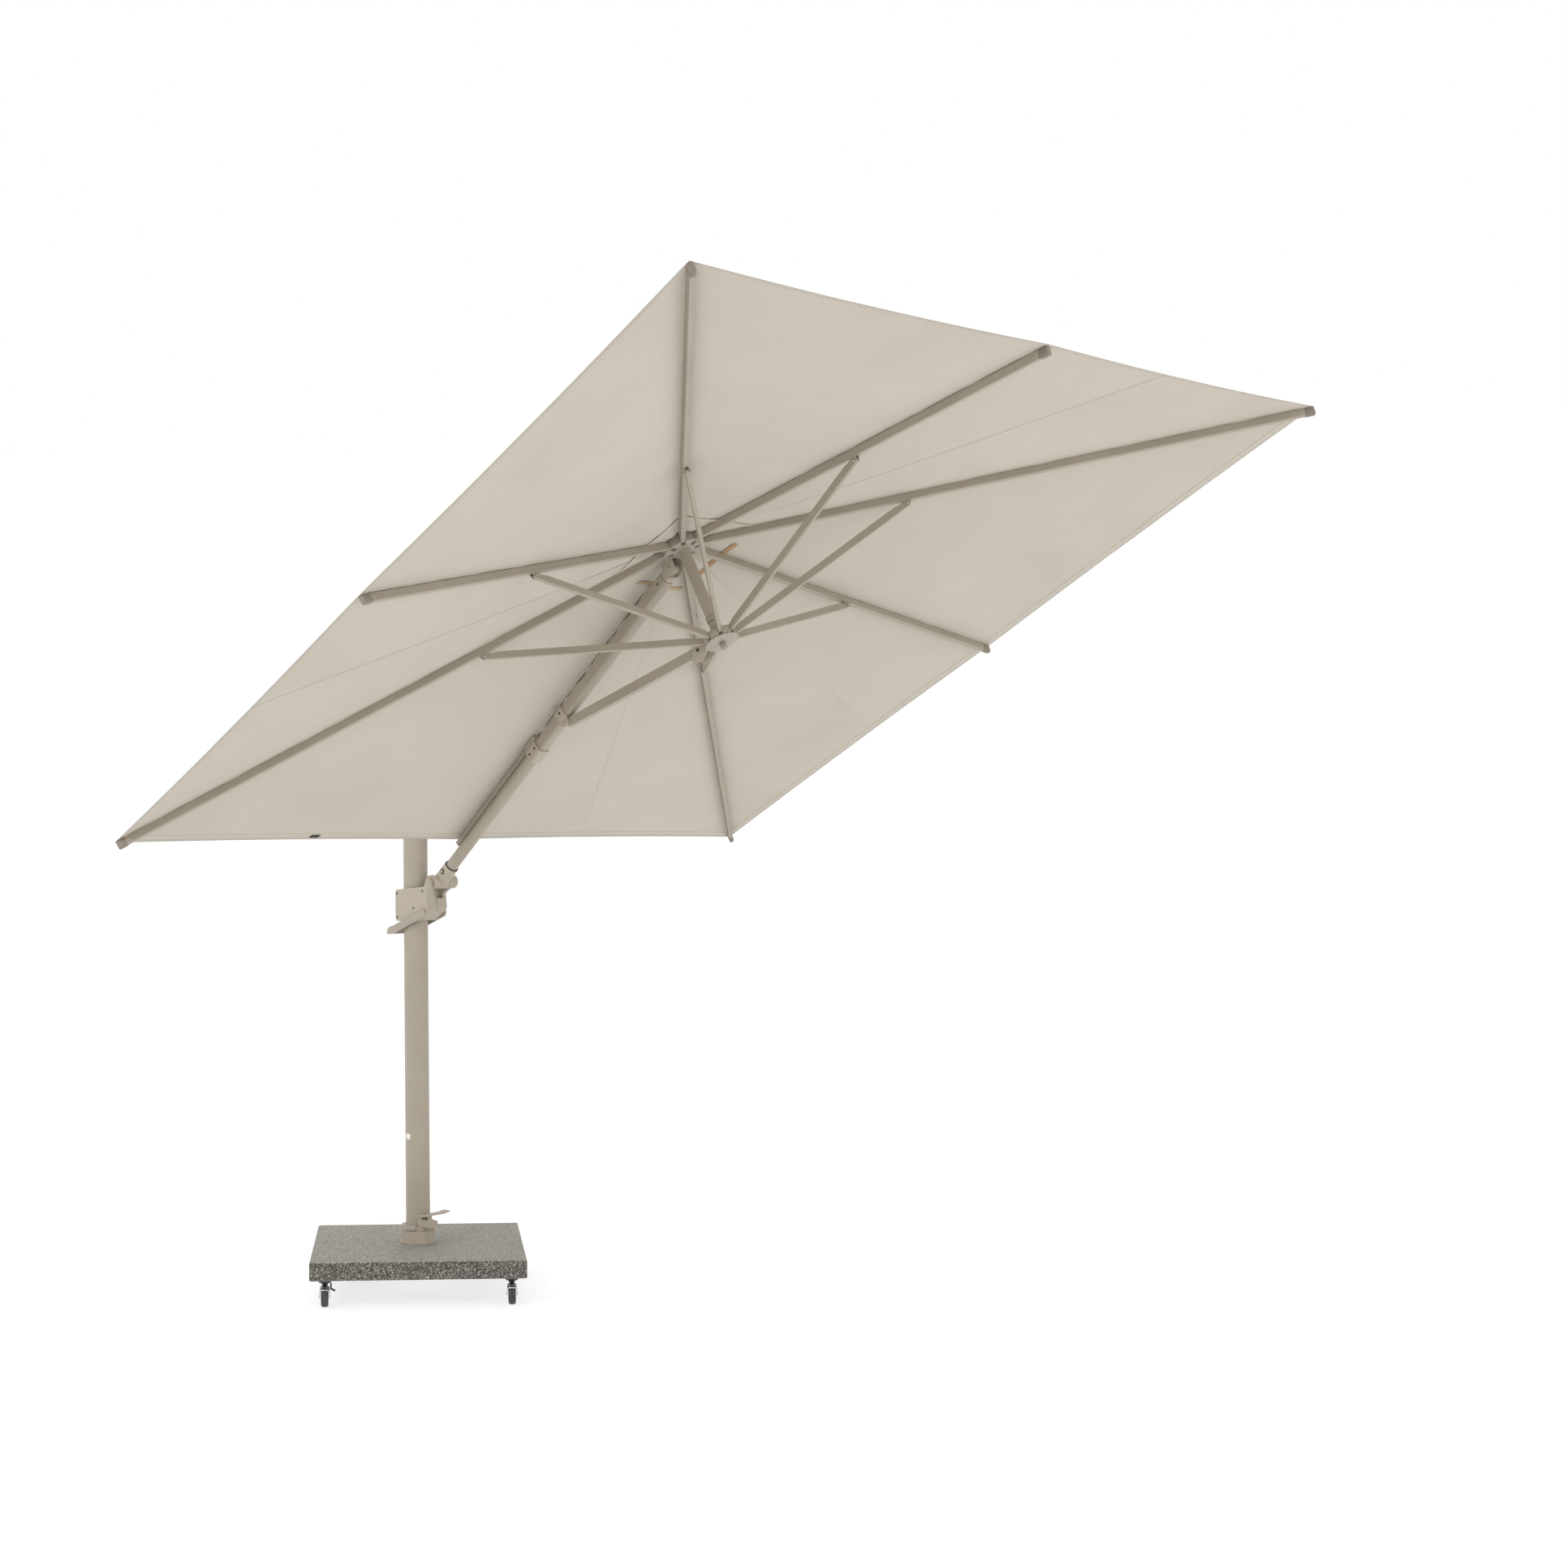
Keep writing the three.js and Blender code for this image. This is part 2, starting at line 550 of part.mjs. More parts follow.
/** A rib: a tube from its hinge at x = 0, open at the tip, with a strut's ears and pin under it. */
function rib(azimuth) {
  const { halfWidth, halfDepth, wall, tipInset, endRadius, pinRadius } = RIB;
  const { hingeRadius } = CROWN;
  const cosine = Math.cos(slopeOf(azimuth));
  const length = (tipRadiusOf(azimuth) - hingeRadius - tipInset) / cosine;
  const pivot = (STRUT_PIVOT.radius - hingeRadius) / cosine;
  const drop = STRUT_PIVOT.drop;
  const ear = polygon([[-16, -halfDepth + 1], [-8, -drop - 7], [8, -drop - 7], [16, -halfDepth + 1]]);
  const earInner = STRUT.halfWidth + 0.4;
  const ears = [alongY(ear, earInner, halfWidth), alongY(ear, -halfWidth, -earInner)];
  const pin = rod(STRUT.pinRadius, [0, -halfWidth - 2, -drop], [0, halfWidth + 2, -drop], 8);
  return cut(
    join(
      block([0, -halfWidth, -halfDepth], [length, halfWidth, halfDepth]),
      rod(endRadius, [0, -halfWidth, 0], [0, halfWidth, 0]),
      ...[...ears, pin].map((piece) => piece.translate(pivot, 0, 0)),
    ),
    block([30, -halfWidth + wall, -halfDepth + wall], [length + 1, halfWidth - wall, halfDepth - wall]),
    rod(pinRadius, [0, -halfWidth - 1, 0], [0, halfWidth + 1, 0], 8),
  );
}

/** Where a rib's strut turns, in the canopy frame: radius and height. */
function strutPivotOf(azimuth) {
  const slope = slopeOf(azimuth);
  const along = (STRUT_PIVOT.radius - CROWN.hingeRadius) / Math.cos(slope);
  return {
    x: CROWN.hingeRadius + along * Math.cos(slope) - STRUT_PIVOT.drop * Math.sin(slope),
    z: -along * Math.sin(slope) - STRUT_PIVOT.drop * Math.cos(slope),
  };
}

/** A strut from its pin on the rib at x = 0 to the lower hub, deeper between its ends; +z faces down here. */
function strut(length) {
  const { halfWidth, endRadius, above, below, taper, pinRadius } = STRUT;
  const side = new THREE.Shape();
  side.absarc(0, 0, endRadius, Math.PI / 2, 1.5 * Math.PI, false);
  side.lineTo(taper, -above);
  side.lineTo(length - taper, -above);
  side.absarc(length, 0, endRadius, -Math.PI / 2, Math.PI / 2, false);
  side.lineTo(length - taper, below);
  side.lineTo(taper, below);
  const hole = rod(pinRadius + 2 * GAP, [0, -10, 0], [0, 10, 0], 8);
  return cut(alongY(side, -halfWidth, halfWidth, 4), hole);
}

/** The angle about +Y that turns +X towards a direction in the xz plane. */
const bearing = (dx, dz) => Math.atan2(-dz, dx);

function addRibs(crown) {
  for (const { side, azimuth } of RIBS) {
    const sector = frameIn(crown, {}, { turnZ: radians(azimuth) });
    const hinge = frameIn(sector, { x: CROWN.hingeRadius }, { turnY: slopeOf(azimuth) });
    add(hinge, `rib_${side}`, rib(azimuth), coat);
    const pivot = strutPivotOf(azimuth);
    const [dx, dz] = [HUB.strutRadius - pivot.x, HUB.strutZ - pivot.z];
    const place = frameIn(sector, pivot, { turnY: bearing(dx, dz) });
    add(place, `strut_${side}`, strut(Math.hypot(dx, dz)), coat);
  }
}

/** The lower hub: a slotted disc that the struts end in, with an open clevis for the boom strut. */
function lowerHub() {
  const { coreRadius, radius, top, bottom } = HUB;
  const { innerX, innerZ, halfWidth } = BOOM_STRUT;
  const disc = rod(radius, [0, 0, bottom], [0, 0, top], 24);
  const knob = rod(10, [0, 0, bottom - 16], [0, 0, bottom + 1]);
  const ear = polygon([[-44, bottom], [innerX - 4, bottom], [innerX - 14, innerZ - 8],
    [innerX - 14, innerZ + 8], [innerX, top + 6], [-60, top], [-44, top]]);
  const [inner, outer] = [halfWidth + 0.5, halfWidth + 6];
  const ears = [alongY(ear, inner, outer), alongY(ear, -outer, -inner)];
  const boomSlot = block([-radius - 60, -inner, bottom - 1], [-coreRadius - 8, inner, top + 20]);
  const slots = hubSlots(STRUT.halfWidth + 0.6, coreRadius, radius + 2, bottom - 1, top + 1);
  return join(cut(join(disc, ...ears), boomSlot, ...slots), knob);
}

/** The stub on the lower hub, which plugs into the post when the canopy is open. */
function runnerStub() {
  const outer = POST.radius - POST.wall - 0.6;
  return rod(outer, [0, 0, HUB.top + GAP], [0, 0, POST.bottom + 90], 20);
}

/** The stout strut from the boom's bracket to the lower hub. */
function boomStrut(length) {
  const { halfWidth, halfDepth } = BOOM_STRUT;
  const taper = new THREE.Shape();
  taper.absarc(0, 0, 12, Math.PI / 2, 1.5 * Math.PI, false);
  taper.lineTo(30, -halfDepth);
  taper.absarc(length, 0, halfDepth, -Math.PI / 2, Math.PI / 2, false);
  taper.lineTo(30, halfDepth);
  return cut(alongY(taper, -halfWidth, halfWidth, 5), rod(6 + GAP, [0, -20, 0], [0, 20, 0]));
}

// ---------------------------------------------------------------- cloth

/** A point of the rib lines' surface: u runs from one rib to the next, t from the crown to the edge. */
function canopyPoint(sector, u, t) {
  const ends = [sector, sector + 1].map((index) => {
    const azimuth = 45 * index;
    const radius = t * tipRadiusOf(azimuth);
    const z = -(radius - CROWN.hingeRadius) * Math.tan(slopeOf(azimuth)) + CANOPY.lift;
    const angle = radians(azimuth);
    return new THREE.Vector3(radius * Math.cos(angle), radius * Math.sin(angle), z);
  });
  const point = ends[0].lerp(ends[1], u);
  const bow = 4 * u * (1 - u);
  const inward = CANOPY.scallop * bow * t ** 6;
  const side = radians(90 * Math.ceil(sector / 2));
  point.x -= inward * Math.cos(side);
  point.y -= inward * Math.sin(side);
  return point;
}

/** A point of the vent cap, a shallow square tent. */
function ventCapPoint(sector, u, t) {
  const ends = [sector, sector + 1].map((index) => {
    const azimuth = 45 * index;
    const outer = VENT_CAP.halfSide * (isCorner(azimuth) ? Math.SQRT2 : 1);
    const radius = THREE.MathUtils.lerp(VENT_CAP.holeRadius, outer, t);
    const z = THREE.MathUtils.lerp(VENT_CAP.top, VENT_CAP.edge, t);
    const angle = radians(azimuth);
    return new THREE.Vector3(radius * Math.cos(angle), radius * Math.sin(angle), z);
  });
  return ends[0].lerp(ends[1], u);
}

/** A thin closed shell on eight sectors between t = start and t = 1. */
function clothShell(pointAt, start, across, outwards) {
  const positions = [];
  const columns = 8 * across;
  for (const lift of [0, CANOPY.thickness]) {
    for (let j = 0; j <= outwards; j += 1) {
      for (let i = 0; i < columns; i += 1) {
        const t = THREE.MathUtils.lerp(start, 1, j / outwards);
        const point = pointAt(Math.floor(i / across), (i % across) / across, t);
        positions.push(point.x, point.y, point.z + lift);
      }
    }
  }
  const at = (layer, j, i) => (layer * (outwards + 1) + j) * columns + (i % columns);
  const index = [];
  const quad = (a, b, c, d) => index.push(a, b, c, a, c, d);
  for (let i = 0; i < columns; i += 1) {
    for (let j = 0; j < outwards; j += 1) {
      quad(at(1, j, i), at(1, j + 1, i), at(1, j + 1, i + 1), at(1, j, i + 1));
      quad(at(0, j, i), at(0, j, i + 1), at(0, j + 1, i + 1), at(0, j + 1, i));
    }
    quad(at(0, outwards, i), at(0, outwards, i + 1), at(1, outwards, i + 1), at(1, outwards, i));
    quad(at(0, 0, i), at(1, 0, i), at(1, 0, i + 1), at(0, 0, i + 1));
  }
  const geometry = new THREE.BufferGeometry();
  geometry.setAttribute('position', new THREE.Float32BufferAttribute(positions, 3));
  geometry.setIndex(index);
  return geometry;
}

// ---------------------------------------------------------------- assembly

function addBase(root) {
  add(root, 'base_slab', baseSlab(), granite);
  add(root, 'base_bottom_plate', bottomPlate(), steel);
  add(root, 'mast_socket', mastSocket(), coat);
  addCastors(root);
}

function addMast(turret) {
  add(turret, 'swivel_collar', swivelCollar(), coat);
  add(turret, 'pedal_housing', pedalHousing(), coat);
  add(turret, 'foot_pedal', footPedal(), coat);
  add(turret, 'mast_tube', mastTube(), coat);
  add(turret, 'mast_top_cap', mastTopCap(), coatPlastic);
}

function addCarriage(turret) {
  const carriage = frameIn(turret, { z: PIVOT.z });
  add(carriage, 'carriage_shell_right', carriageShell(-1), coatPlastic);
  add(carriage, 'carriage_shell_left', carriageShell(1), coatPlastic);
  add(carriage, 'carriage_glide_upper', glideRing(-50, -36), glide);
  add(carriage, 'carriage_glide_lower', glideRing(-136, -122), glide);
  add(carriage, 'carriage_grip', carriageGrip(), coatPlastic);
  const pivot = frameIn(carriage, { x: PIVOT.x });
  add(pivot, 'tilt_lever', tiltLever(), coatPlastic);
  add(pivot, 'pivot_pin', pivotPin(), coatPlastic);
}

function addBoom(turret) {
  const boom = frameIn(turret, PIVOT, { turnY: -boomElevation });
  add(boom, 'boom_knuckle', boomKnuckle(), coatPlastic);
  add(boom, 'roll_button', rollButton(), coatPlastic);
  add(boom, 'boom_lower_tube', boomLowerTube(), coat);
  add(boom, 'boom_sleeve', boomSleeve(), coatPlastic);
  add(boom, 'edge_rib', edgeRib(), coat);
  add(boom, 'boom_upper_tube', boomUpperTube(), coat);
  add(boom, 'strut_bracket', strutBracket(), coatPlastic);
  add(boom, 'boom_head', boomHead(), coatPlastic);
}

/** The crown's place follows from the pivot, the boom's length and the canopy's tilt. */
function crownPlace() {
  const tilt = radians(CANOPY_TILT);
  const { x, z } = BOOM_HINGE;
  return {
    x: PIVOT.x + BOOM.length * Math.cos(boomElevation) - x * Math.cos(tilt) + z * Math.sin(tilt),
    z: PIVOT.z + BOOM.length * Math.sin(boomElevation) - x * Math.sin(tilt) - z * Math.cos(tilt),
  };
}

function addCanopy(turret) {
  const crown = frameIn(turret, crownPlace(), { turnY: -radians(CANOPY_TILT) });
  add(crown, 'crown_hub', crownHub(), coatPlastic);
  add(crown, 'crown_pin_ring', wireRing(RIB.pinRadius - 0.8), steel);
  add(crown, 'crown_post', crownPost(), coat);
  add(crown, 'finial_cap', finialCap(), coatPlastic);
  add(crown, 'lower_hub', lowerHub(), coatPlastic);
  add(crown, 'runner_stub', runnerStub(), coat);
  addRibs(crown);
  const boomAxisZ = BOOM_HINGE.z + (BOOM_STRUT.outerX - BOOM_HINGE.x) * Math.tan(midSlope);
  const outer = {
    x: BOOM_STRUT.outerX + BOOM_STRUT.drop * Math.sin(midSlope),
    z: boomAxisZ - BOOM_STRUT.drop * Math.cos(midSlope),
  };
  const [dx, dz] = [BOOM_STRUT.innerX - outer.x, BOOM_STRUT.innerZ - outer.z];
  const place = frameIn(crown, outer, { turnY: bearing(dx, dz) });
  add(place, 'boom_strut', boomStrut(Math.hypot(dx, dz)), coat);
  const ventStart = CANOPY.ventHalf / CANOPY.halfSide;
  add(crown, 'canopy', clothShell(canopyPoint, ventStart, 4, 4), fabric);
  add(crown, 'vent_cap', clothShell(ventCapPoint, 0, 2, 1), fabric);
}

const group = new THREE.Group();
addBase(group);
const turret = frameIn(group, {}, { turnZ: radians(BOOM_AZIMUTH) });
addMast(turret);
addCarriage(turret);
addBoom(turret);
addCanopy(turret);

export default group;
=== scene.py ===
"""Looks of a cantilever parasol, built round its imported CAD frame.

Metres, +Z up, in the CAD's own frame. X runs along the slab's front edge and the camera looks
roughly along +Y. The mast stands on the origin.
"""

import math

import bmesh
import bpy
import numpy as np
from mathutils import Matrix, Vector

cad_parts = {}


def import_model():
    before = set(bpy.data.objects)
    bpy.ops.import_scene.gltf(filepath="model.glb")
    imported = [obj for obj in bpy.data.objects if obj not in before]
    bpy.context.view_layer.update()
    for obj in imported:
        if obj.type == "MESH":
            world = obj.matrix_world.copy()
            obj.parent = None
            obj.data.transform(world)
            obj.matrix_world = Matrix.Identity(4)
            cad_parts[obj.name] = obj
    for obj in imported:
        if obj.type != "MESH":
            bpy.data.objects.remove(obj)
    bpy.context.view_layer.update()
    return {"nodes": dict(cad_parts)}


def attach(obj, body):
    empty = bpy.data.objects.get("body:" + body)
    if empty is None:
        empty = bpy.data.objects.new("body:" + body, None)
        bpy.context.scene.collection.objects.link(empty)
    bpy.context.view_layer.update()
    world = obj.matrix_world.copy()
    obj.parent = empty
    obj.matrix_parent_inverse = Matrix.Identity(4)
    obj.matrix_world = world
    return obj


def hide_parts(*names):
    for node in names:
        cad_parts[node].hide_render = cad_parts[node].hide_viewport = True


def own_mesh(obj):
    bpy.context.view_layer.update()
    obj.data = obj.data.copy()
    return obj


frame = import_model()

# ---------------------------------------------------------------- dimensions shared with the CAD

BOOM_AZIMUTH = math.radians(-50.5)
CANOPY_TILT = math.radians(28.3)
PIVOT = Vector((0.145, 0, 1.455))
BOOM_LENGTH = 1.640
BOOM_HINGE = Vector((-0.070, 0, -0.040))  # in the crown's frame
HALF_SIDE = 1.500
RISE = 0.322
LIFT = 0.0155  # from the ribs' hinges to the cloth
HINGE_RADIUS = 0.060
STRUT_RADIUS = 0.756
STRUT_DROP = 0.024
RIB_HALF_WIDTH = 0.008
TIP_INSET = 0.010  # from the cloth's edge to a rib's end
VENT_CAP_HALF = 0.330
VENT_CAP_EDGE = -0.016
HUB_BOTTOM = -0.372
BOOM_STRUT_INNER = Vector((-0.089, 0, -0.353))
BOOM_STRUT_OUTER_X = -0.775
SLEEVE_X = -0.960
FLOOR = -0.100  # below the slab's underside
CASTOR_OFFSET = 0.345
CASTOR_TRAIL = 0.022
WHEEL_RADIUS = 0.0375
WHEEL_HALF = 0.013
AXLE_HEIGHT = FLOOR + WHEEL_RADIUS
MAST_HALF_DEPTH = 0.040

CORNER_RADIUS = HALF_SIDE * math.sqrt(2)
MID_SLOPE = math.atan2(RISE, HALF_SIDE - HINGE_RADIUS)
CORNER_SLOPE = math.atan2(RISE, CORNER_RADIUS - HINGE_RADIUS)

# ---------------------------------------------------------------- dimensions of the cloth

OPENING_HALF = 0.082  # of the canopy's opening, under the vent cap
SCALLOP = 0.012  # how far the edge curves in between two ribs
SAG = 0.010  # the canopy's, midway between two ribs
VENT_SAG = 0.004
PUCKER = 0.0022
PUCKER_REACH = 0.035  # of a gore, to either side of a seam
SLACK = 0.0012
OVERLAP = 0.58  # of a gore, from each rib
LAYER = 0.0006  # how much higher every second panel lies
HEM = 0.030
HEM_TURN = 0.0006  # below the cloth, at the edge
HEM_BACK = 0.0007  # below the cloth, where the hem is sewn
VENT_PANEL_INNER = 0.040
VENT_PANEL_TOP = 0.033
VENT_HEM_TURN = 0.0016  # below the cloth, at the edge
VENT_HEM_BACK = 0.0024  # below the cloth, two rows in from the edge
HALF_DIAGONAL = math.sqrt(0.5)  # the cosine of 45 degrees, from a rib to the next

# Ribs by the side they point to, in steps of 45 degrees. The boom takes the place of the fifth.
RIB_SIDES = ["front", "front_left", "left", "rear_left", None, "rear_right", "right", "front_right"]

TURRET = Matrix.Rotation(BOOM_AZIMUTH, 4, "Z")


def crown_frame():
    """The crown's frame: x up the canopy's slope away from the mast, z along the post."""
    elevation = CANOPY_TILT + MID_SLOPE
    tip = PIVOT + BOOM_LENGTH * Vector((math.cos(elevation), 0, math.sin(elevation)))
    tilt = Matrix.Rotation(-CANOPY_TILT, 4, "Y")
    return TURRET @ Matrix.Translation(tip - tilt @ BOOM_HINGE) @ tilt


CROWN = crown_frame()
BOOM = TURRET @ Matrix.Translation(PIVOT) @ Matrix.Rotation(-CANOPY_TILT - MID_SLOPE, 4, "Y")


def is_corner(index):
    return index % 2 == 1


def slope_of(index):
    return CORNER_SLOPE if is_corner(index) else MID_SLOPE


def tip_radius_of(index):
    return CORNER_RADIUS if is_corner(index) else HALF_SIDE


def sector_frame(index):
    """The crown's frame turned so that x points along a rib's side."""
    return CROWN @ Matrix.Rotation(math.radians(45 * index), 4, "Z")


def rib_frame(index):
    """A rib's own frame: x along the rib from its hinge."""
    hinge = Matrix.Translation((HINGE_RADIUS, 0, 0)) @ Matrix.Rotation(slope_of(index), 4, "Y")
    return sector_frame(index) @ hinge


def body_of_sector(index):
    side = RIB_SIDES[index]
    return f"rib_{side}" if side else "boom"


def boom_at(canopy_x):
    """How far along the boom a place is, from its x in the crown's frame."""
    return BOOM_LENGTH + (canopy_x - BOOM_HINGE.x) / math.cos(MID_SLOPE)


# ---------------------------------------------------------------- node helpers


def srgb(hex_colour):
    """A linear colour from its hex name."""
    channels = [int(hex_colour[i : i + 2], 16) / 255 for i in (1, 3, 5)]
    linear = [c / 12.92 if c <= 0.04045 else ((c + 0.055) / 1.055) ** 2.4 for c in channels]
    return (*linear, 1)


class Nodes:
    """A material's node tree with short calls to add and join nodes."""

    def __init__(self, name):
        self.material = bpy.data.materials.new(name)
        self.material.use_nodes = True
        self.tree = self.material.node_tree
        self.shader = self.tree.nodes["Principled BSDF"]

    def add(self, kind, settings=(), inputs=()):
        node = self.tree.nodes.new(kind)
        for key, value in dict(settings).items():
            setattr(node, key, value)
        for key, value in dict(inputs).items():
            if isinstance(value, bpy.types.NodeSocket):
                self.tree.links.new(value, node.inputs[key])
            else:
                node.inputs[key].default_value = value
        return node

    def shade(self, **inputs):
        """Sets or joins the shader's inputs; an underscore stands for a space."""
        for key, value in inputs.items():
            socket = self.shader.inputs[key.replace("_", " ")]
            if isinstance(value, bpy.types.NodeSocket):
                self.tree.links.new(value, socket)
            else:
                socket.default_value = value

    def object_coordinates(self):
        return self.add("ShaderNodeTexCoord").outputs["Object"]

    def noise(self, scale, detail=3, vector=None):
        inputs = {"Vector": vector or self.object_coordinates(), "Scale": scale, "Detail": detail}
        return self.add("ShaderNodeTexNoise", inputs=inputs).outputs["Fac"]

    def ramp(self, factor, stops):
        """A colour ramp: stops are (position, colour)."""
        node = self.add("ShaderNodeValToRGB", inputs={"Fac": factor})
        while len(node.color_ramp.elements) < len(stops):
            node.color_ramp.elements.new(1)
        for element, (position, colour) in zip(node.color_ramp.elements, stops):
            element.position = position
            element.color = colour
        return node.outputs["Color"]

    def span(self, factor, low, high):
        """Maps 0 to 1 onto low to high."""
        inputs = {"Value": factor, "To Min": low, "To Max": high}
        return self.add("ShaderNodeMapRange", inputs=inputs).outputs[0]

    def maths(self, operation, a, b=0.0):
        return self.add("ShaderNodeMath", {"operation": operation}, {0: a, 1: b}).outputs[0]

    def mix(self, factor, a, b, blend="MIX"):
        settings = {"data_type": "RGBA", "blend_type": blend}
        return self.add("ShaderNodeMix", settings, {0: factor, 6: a, 7: b}).outputs[2]

    def bump(self, height, distance, strength=1.0, under=None):
        inputs = {"Height": height, "Distance": distance, "Strength": strength}
        if under:
            inputs["Normal"] = under
        return self.add("ShaderNodeBump", inputs=inputs).outputs["Normal"]


# ---------------------------------------------------------------- materials


def coated_metal(name, light, dark, grain=700, roughness=0.42):
    """Powder coat: a fine orange peel, with faint mottling and dull patches."""
    m = Nodes(name)
    mottle = m.noise(5, 5)
    peel = m.noise(grain, 2)
    m.shade(
        Base_Color=m.ramp(mottle, [(0.3, srgb(dark)), (0.7, srgb(light))]),
        Roughness=m.span(m.noise(30, 4), roughness - 0.06, roughness + 0.10),
        Normal=m.bump(peel, 0.0002, 0.5),
    )
    m.shader.inputs["Specular IOR Level"].default_value = 0.45
    return m.material


def moulded(name, light, dark, roughness=0.5):
    """Moulded plastic with a spark-eroded grain."""
    m = Nodes(name)
    cells = m.add(
        "ShaderNodeTexVoronoi", {"feature": "F1"}, {"Vector": m.object_coordinates(), "Scale": 900}
    )
    m.shade(
        Base_Color=m.ramp(m.noise(9, 4), [(0.3, srgb(dark)), (0.7, srgb(light))]),
        Roughness=m.span(m.noise(60, 3), roughness - 0.05, roughness + 0.08),
        Normal=m.bump(cells.outputs["Distance"], 0.0002, 0.35),
    )
    return m.material


GRAIN_WARP = 0.0025


def granite():
    """Grey granite with salt-and-pepper grains; its top is painted paler as lit, and its sides darker as
    painted shade.
    """
    m = Nodes("granite")
    place = m.object_coordinates()
    warp = m.add("ShaderNodeTexNoise", inputs={"Vector": place, "Scale": 90, "Detail": 2})
    warped = m.add(
        "ShaderNodeVectorMath",
        {"operation": "MULTIPLY_ADD"},
        {0: warp.outputs["Color"], 1: (GRAIN_WARP, GRAIN_WARP, GRAIN_WARP), 2: place},
    ).outputs[0]
    coarse = m.add("ShaderNodeTexVoronoi", inputs={"Vector": warped, "Scale": 230})
    fine = m.add("ShaderNodeTexVoronoi", inputs={"Vector": warped, "Scale": 480})
    grey = m.add("ShaderNodeRGBToBW", inputs={0: coarse.outputs["Color"]}).outputs[0]
    small = m.add("ShaderNodeRGBToBW", inputs={0: fine.outputs["Color"]}).outputs[0]
    grains = m.maths("ADD", m.maths("MULTIPLY", grey, 0.6), m.maths("MULTIPLY", small, 0.4))
    # painted light: upward faces take paler tones as lit, all other faces darker tones as painted shade
    lit_top_tones = {0.18: "#545149", 0.40: "#85827a", 0.62: "#98958a", 0.80: "#c4c0b6"}
    shaded_side_tones = {0.26: "#1f1c1a", 0.42: "#4a4540", 0.60: "#69635b", 0.78: "#b5afa5"}
    lit_top = m.ramp(grains, [(at, srgb(colour)) for at, colour in lit_top_tones.items()])
    sides = m.ramp(grains, [(at, srgb(colour)) for at, colour in shaded_side_tones.items()])
    # faces that point up get the painted light tones, the rest the painted shade tones
    normal = m.add("ShaderNodeNewGeometry").outputs["Normal"]
    upward = m.add("ShaderNodeSeparateXYZ", inputs={0: normal}).outputs["Z"]
    lit_top_mask = m.maths("GREATER_THAN", upward, 0.6)
    clean = m.mix(lit_top_mask, sides, lit_top)
    stained = m.mix(m.span(m.noise(4, 4), 0.0, 0.5), clean, srgb("#8c877b"), "MULTIPLY")
    pits = m.bump(m.noise(260, 4), 0.0010, 0.5)
    m.shade(
        Base_Color=m.mix(0.75, stained, clean),
        Roughness=m.span(grains, 0.55, 0.8),
        Normal=m.bump(coarse.outputs["Distance"], 0.0006, 0.4, pits),
    )
    return m.material


def bare_metal(name, colour, roughness, streaks=0.05):
    """Plated or bare steel, with faint streaks in its shine."""
    m = Nodes(name)
    m.shade(
        Base_Color=m.ramp(m.noise(40, 3), [(0.2, srgb(colour)), (0.9, srgb("#d9dadb"))]),
        Metallic=1.0,
        Roughness=m.span(m.noise(120, 4), roughness, roughness + streaks),
        Normal=m.bump(m.noise(500, 2), 0.0001, 0.15),
    )
    return m.material


def rubber(name, colour, roughness):
    """Dark rubber or nylon, dusty in its pores."""
    m = Nodes(name)
    m.shade(
        Base_Color=m.ramp(m.noise(70, 5), [(0.3, srgb(colour)), (0.85, srgb("#4d4c4b"))]),
        Roughness=m.span(m.noise(200, 3), roughness, roughness + 0.15),
        Normal=m.bump(m.noise(900, 2), 0.0003, 0.4),
    )
    return m.material


WEAVE_PITCH = 0.0011
WEBBING_PITCH = 0.0016


def woven(name, light, dark, pitch=WEAVE_PITCH):
    """A plain weave by the piece's UV map, which is in metres, with slubs and faint mottling."""
    m = Nodes(name)
    uv = m.add("ShaderNodeUVMap").outputs["UV"]
    slubs = m.noise(160, 3, uv)
    bands = []
    for direction in ("X", "Y"):
        wave = m.add(
            "ShaderNodeTexWave",
            {"bands_direction": direction},
            {"Vector": uv, "Scale": 0.314 / pitch, "Distortion": 1.2, "Detail": 1},
        )
        bands.append(wave.outputs["Fac"])
    threads = m.maths("MULTIPLY", bands[0], bands[1])
    patches = m.maths("MULTIPLY", m.noise(2.5, 4, uv), 0.7)
    mottle = m.maths("ADD", patches, m.maths("MULTIPLY", slubs, 0.3))
    weave = m.bump(threads, pitch * 0.25, 0.35)
    m.shade(
        Base_Color=m.ramp(mottle, [(0.25, srgb(dark)), (0.75, srgb(light))]),
        Roughness=m.span(threads, 0.95, 0.82),
        Normal=m.bump(slubs, 0.0004, 0.25, weave),
    )
    m.shader.inputs["Sheen Weight"].default_value = 0.12
    m.shader.inputs["Sheen Roughness"].default_value = 0.6
    m.shader.inputs["Specular IOR Level"].default_value = 0.2
    return m.material


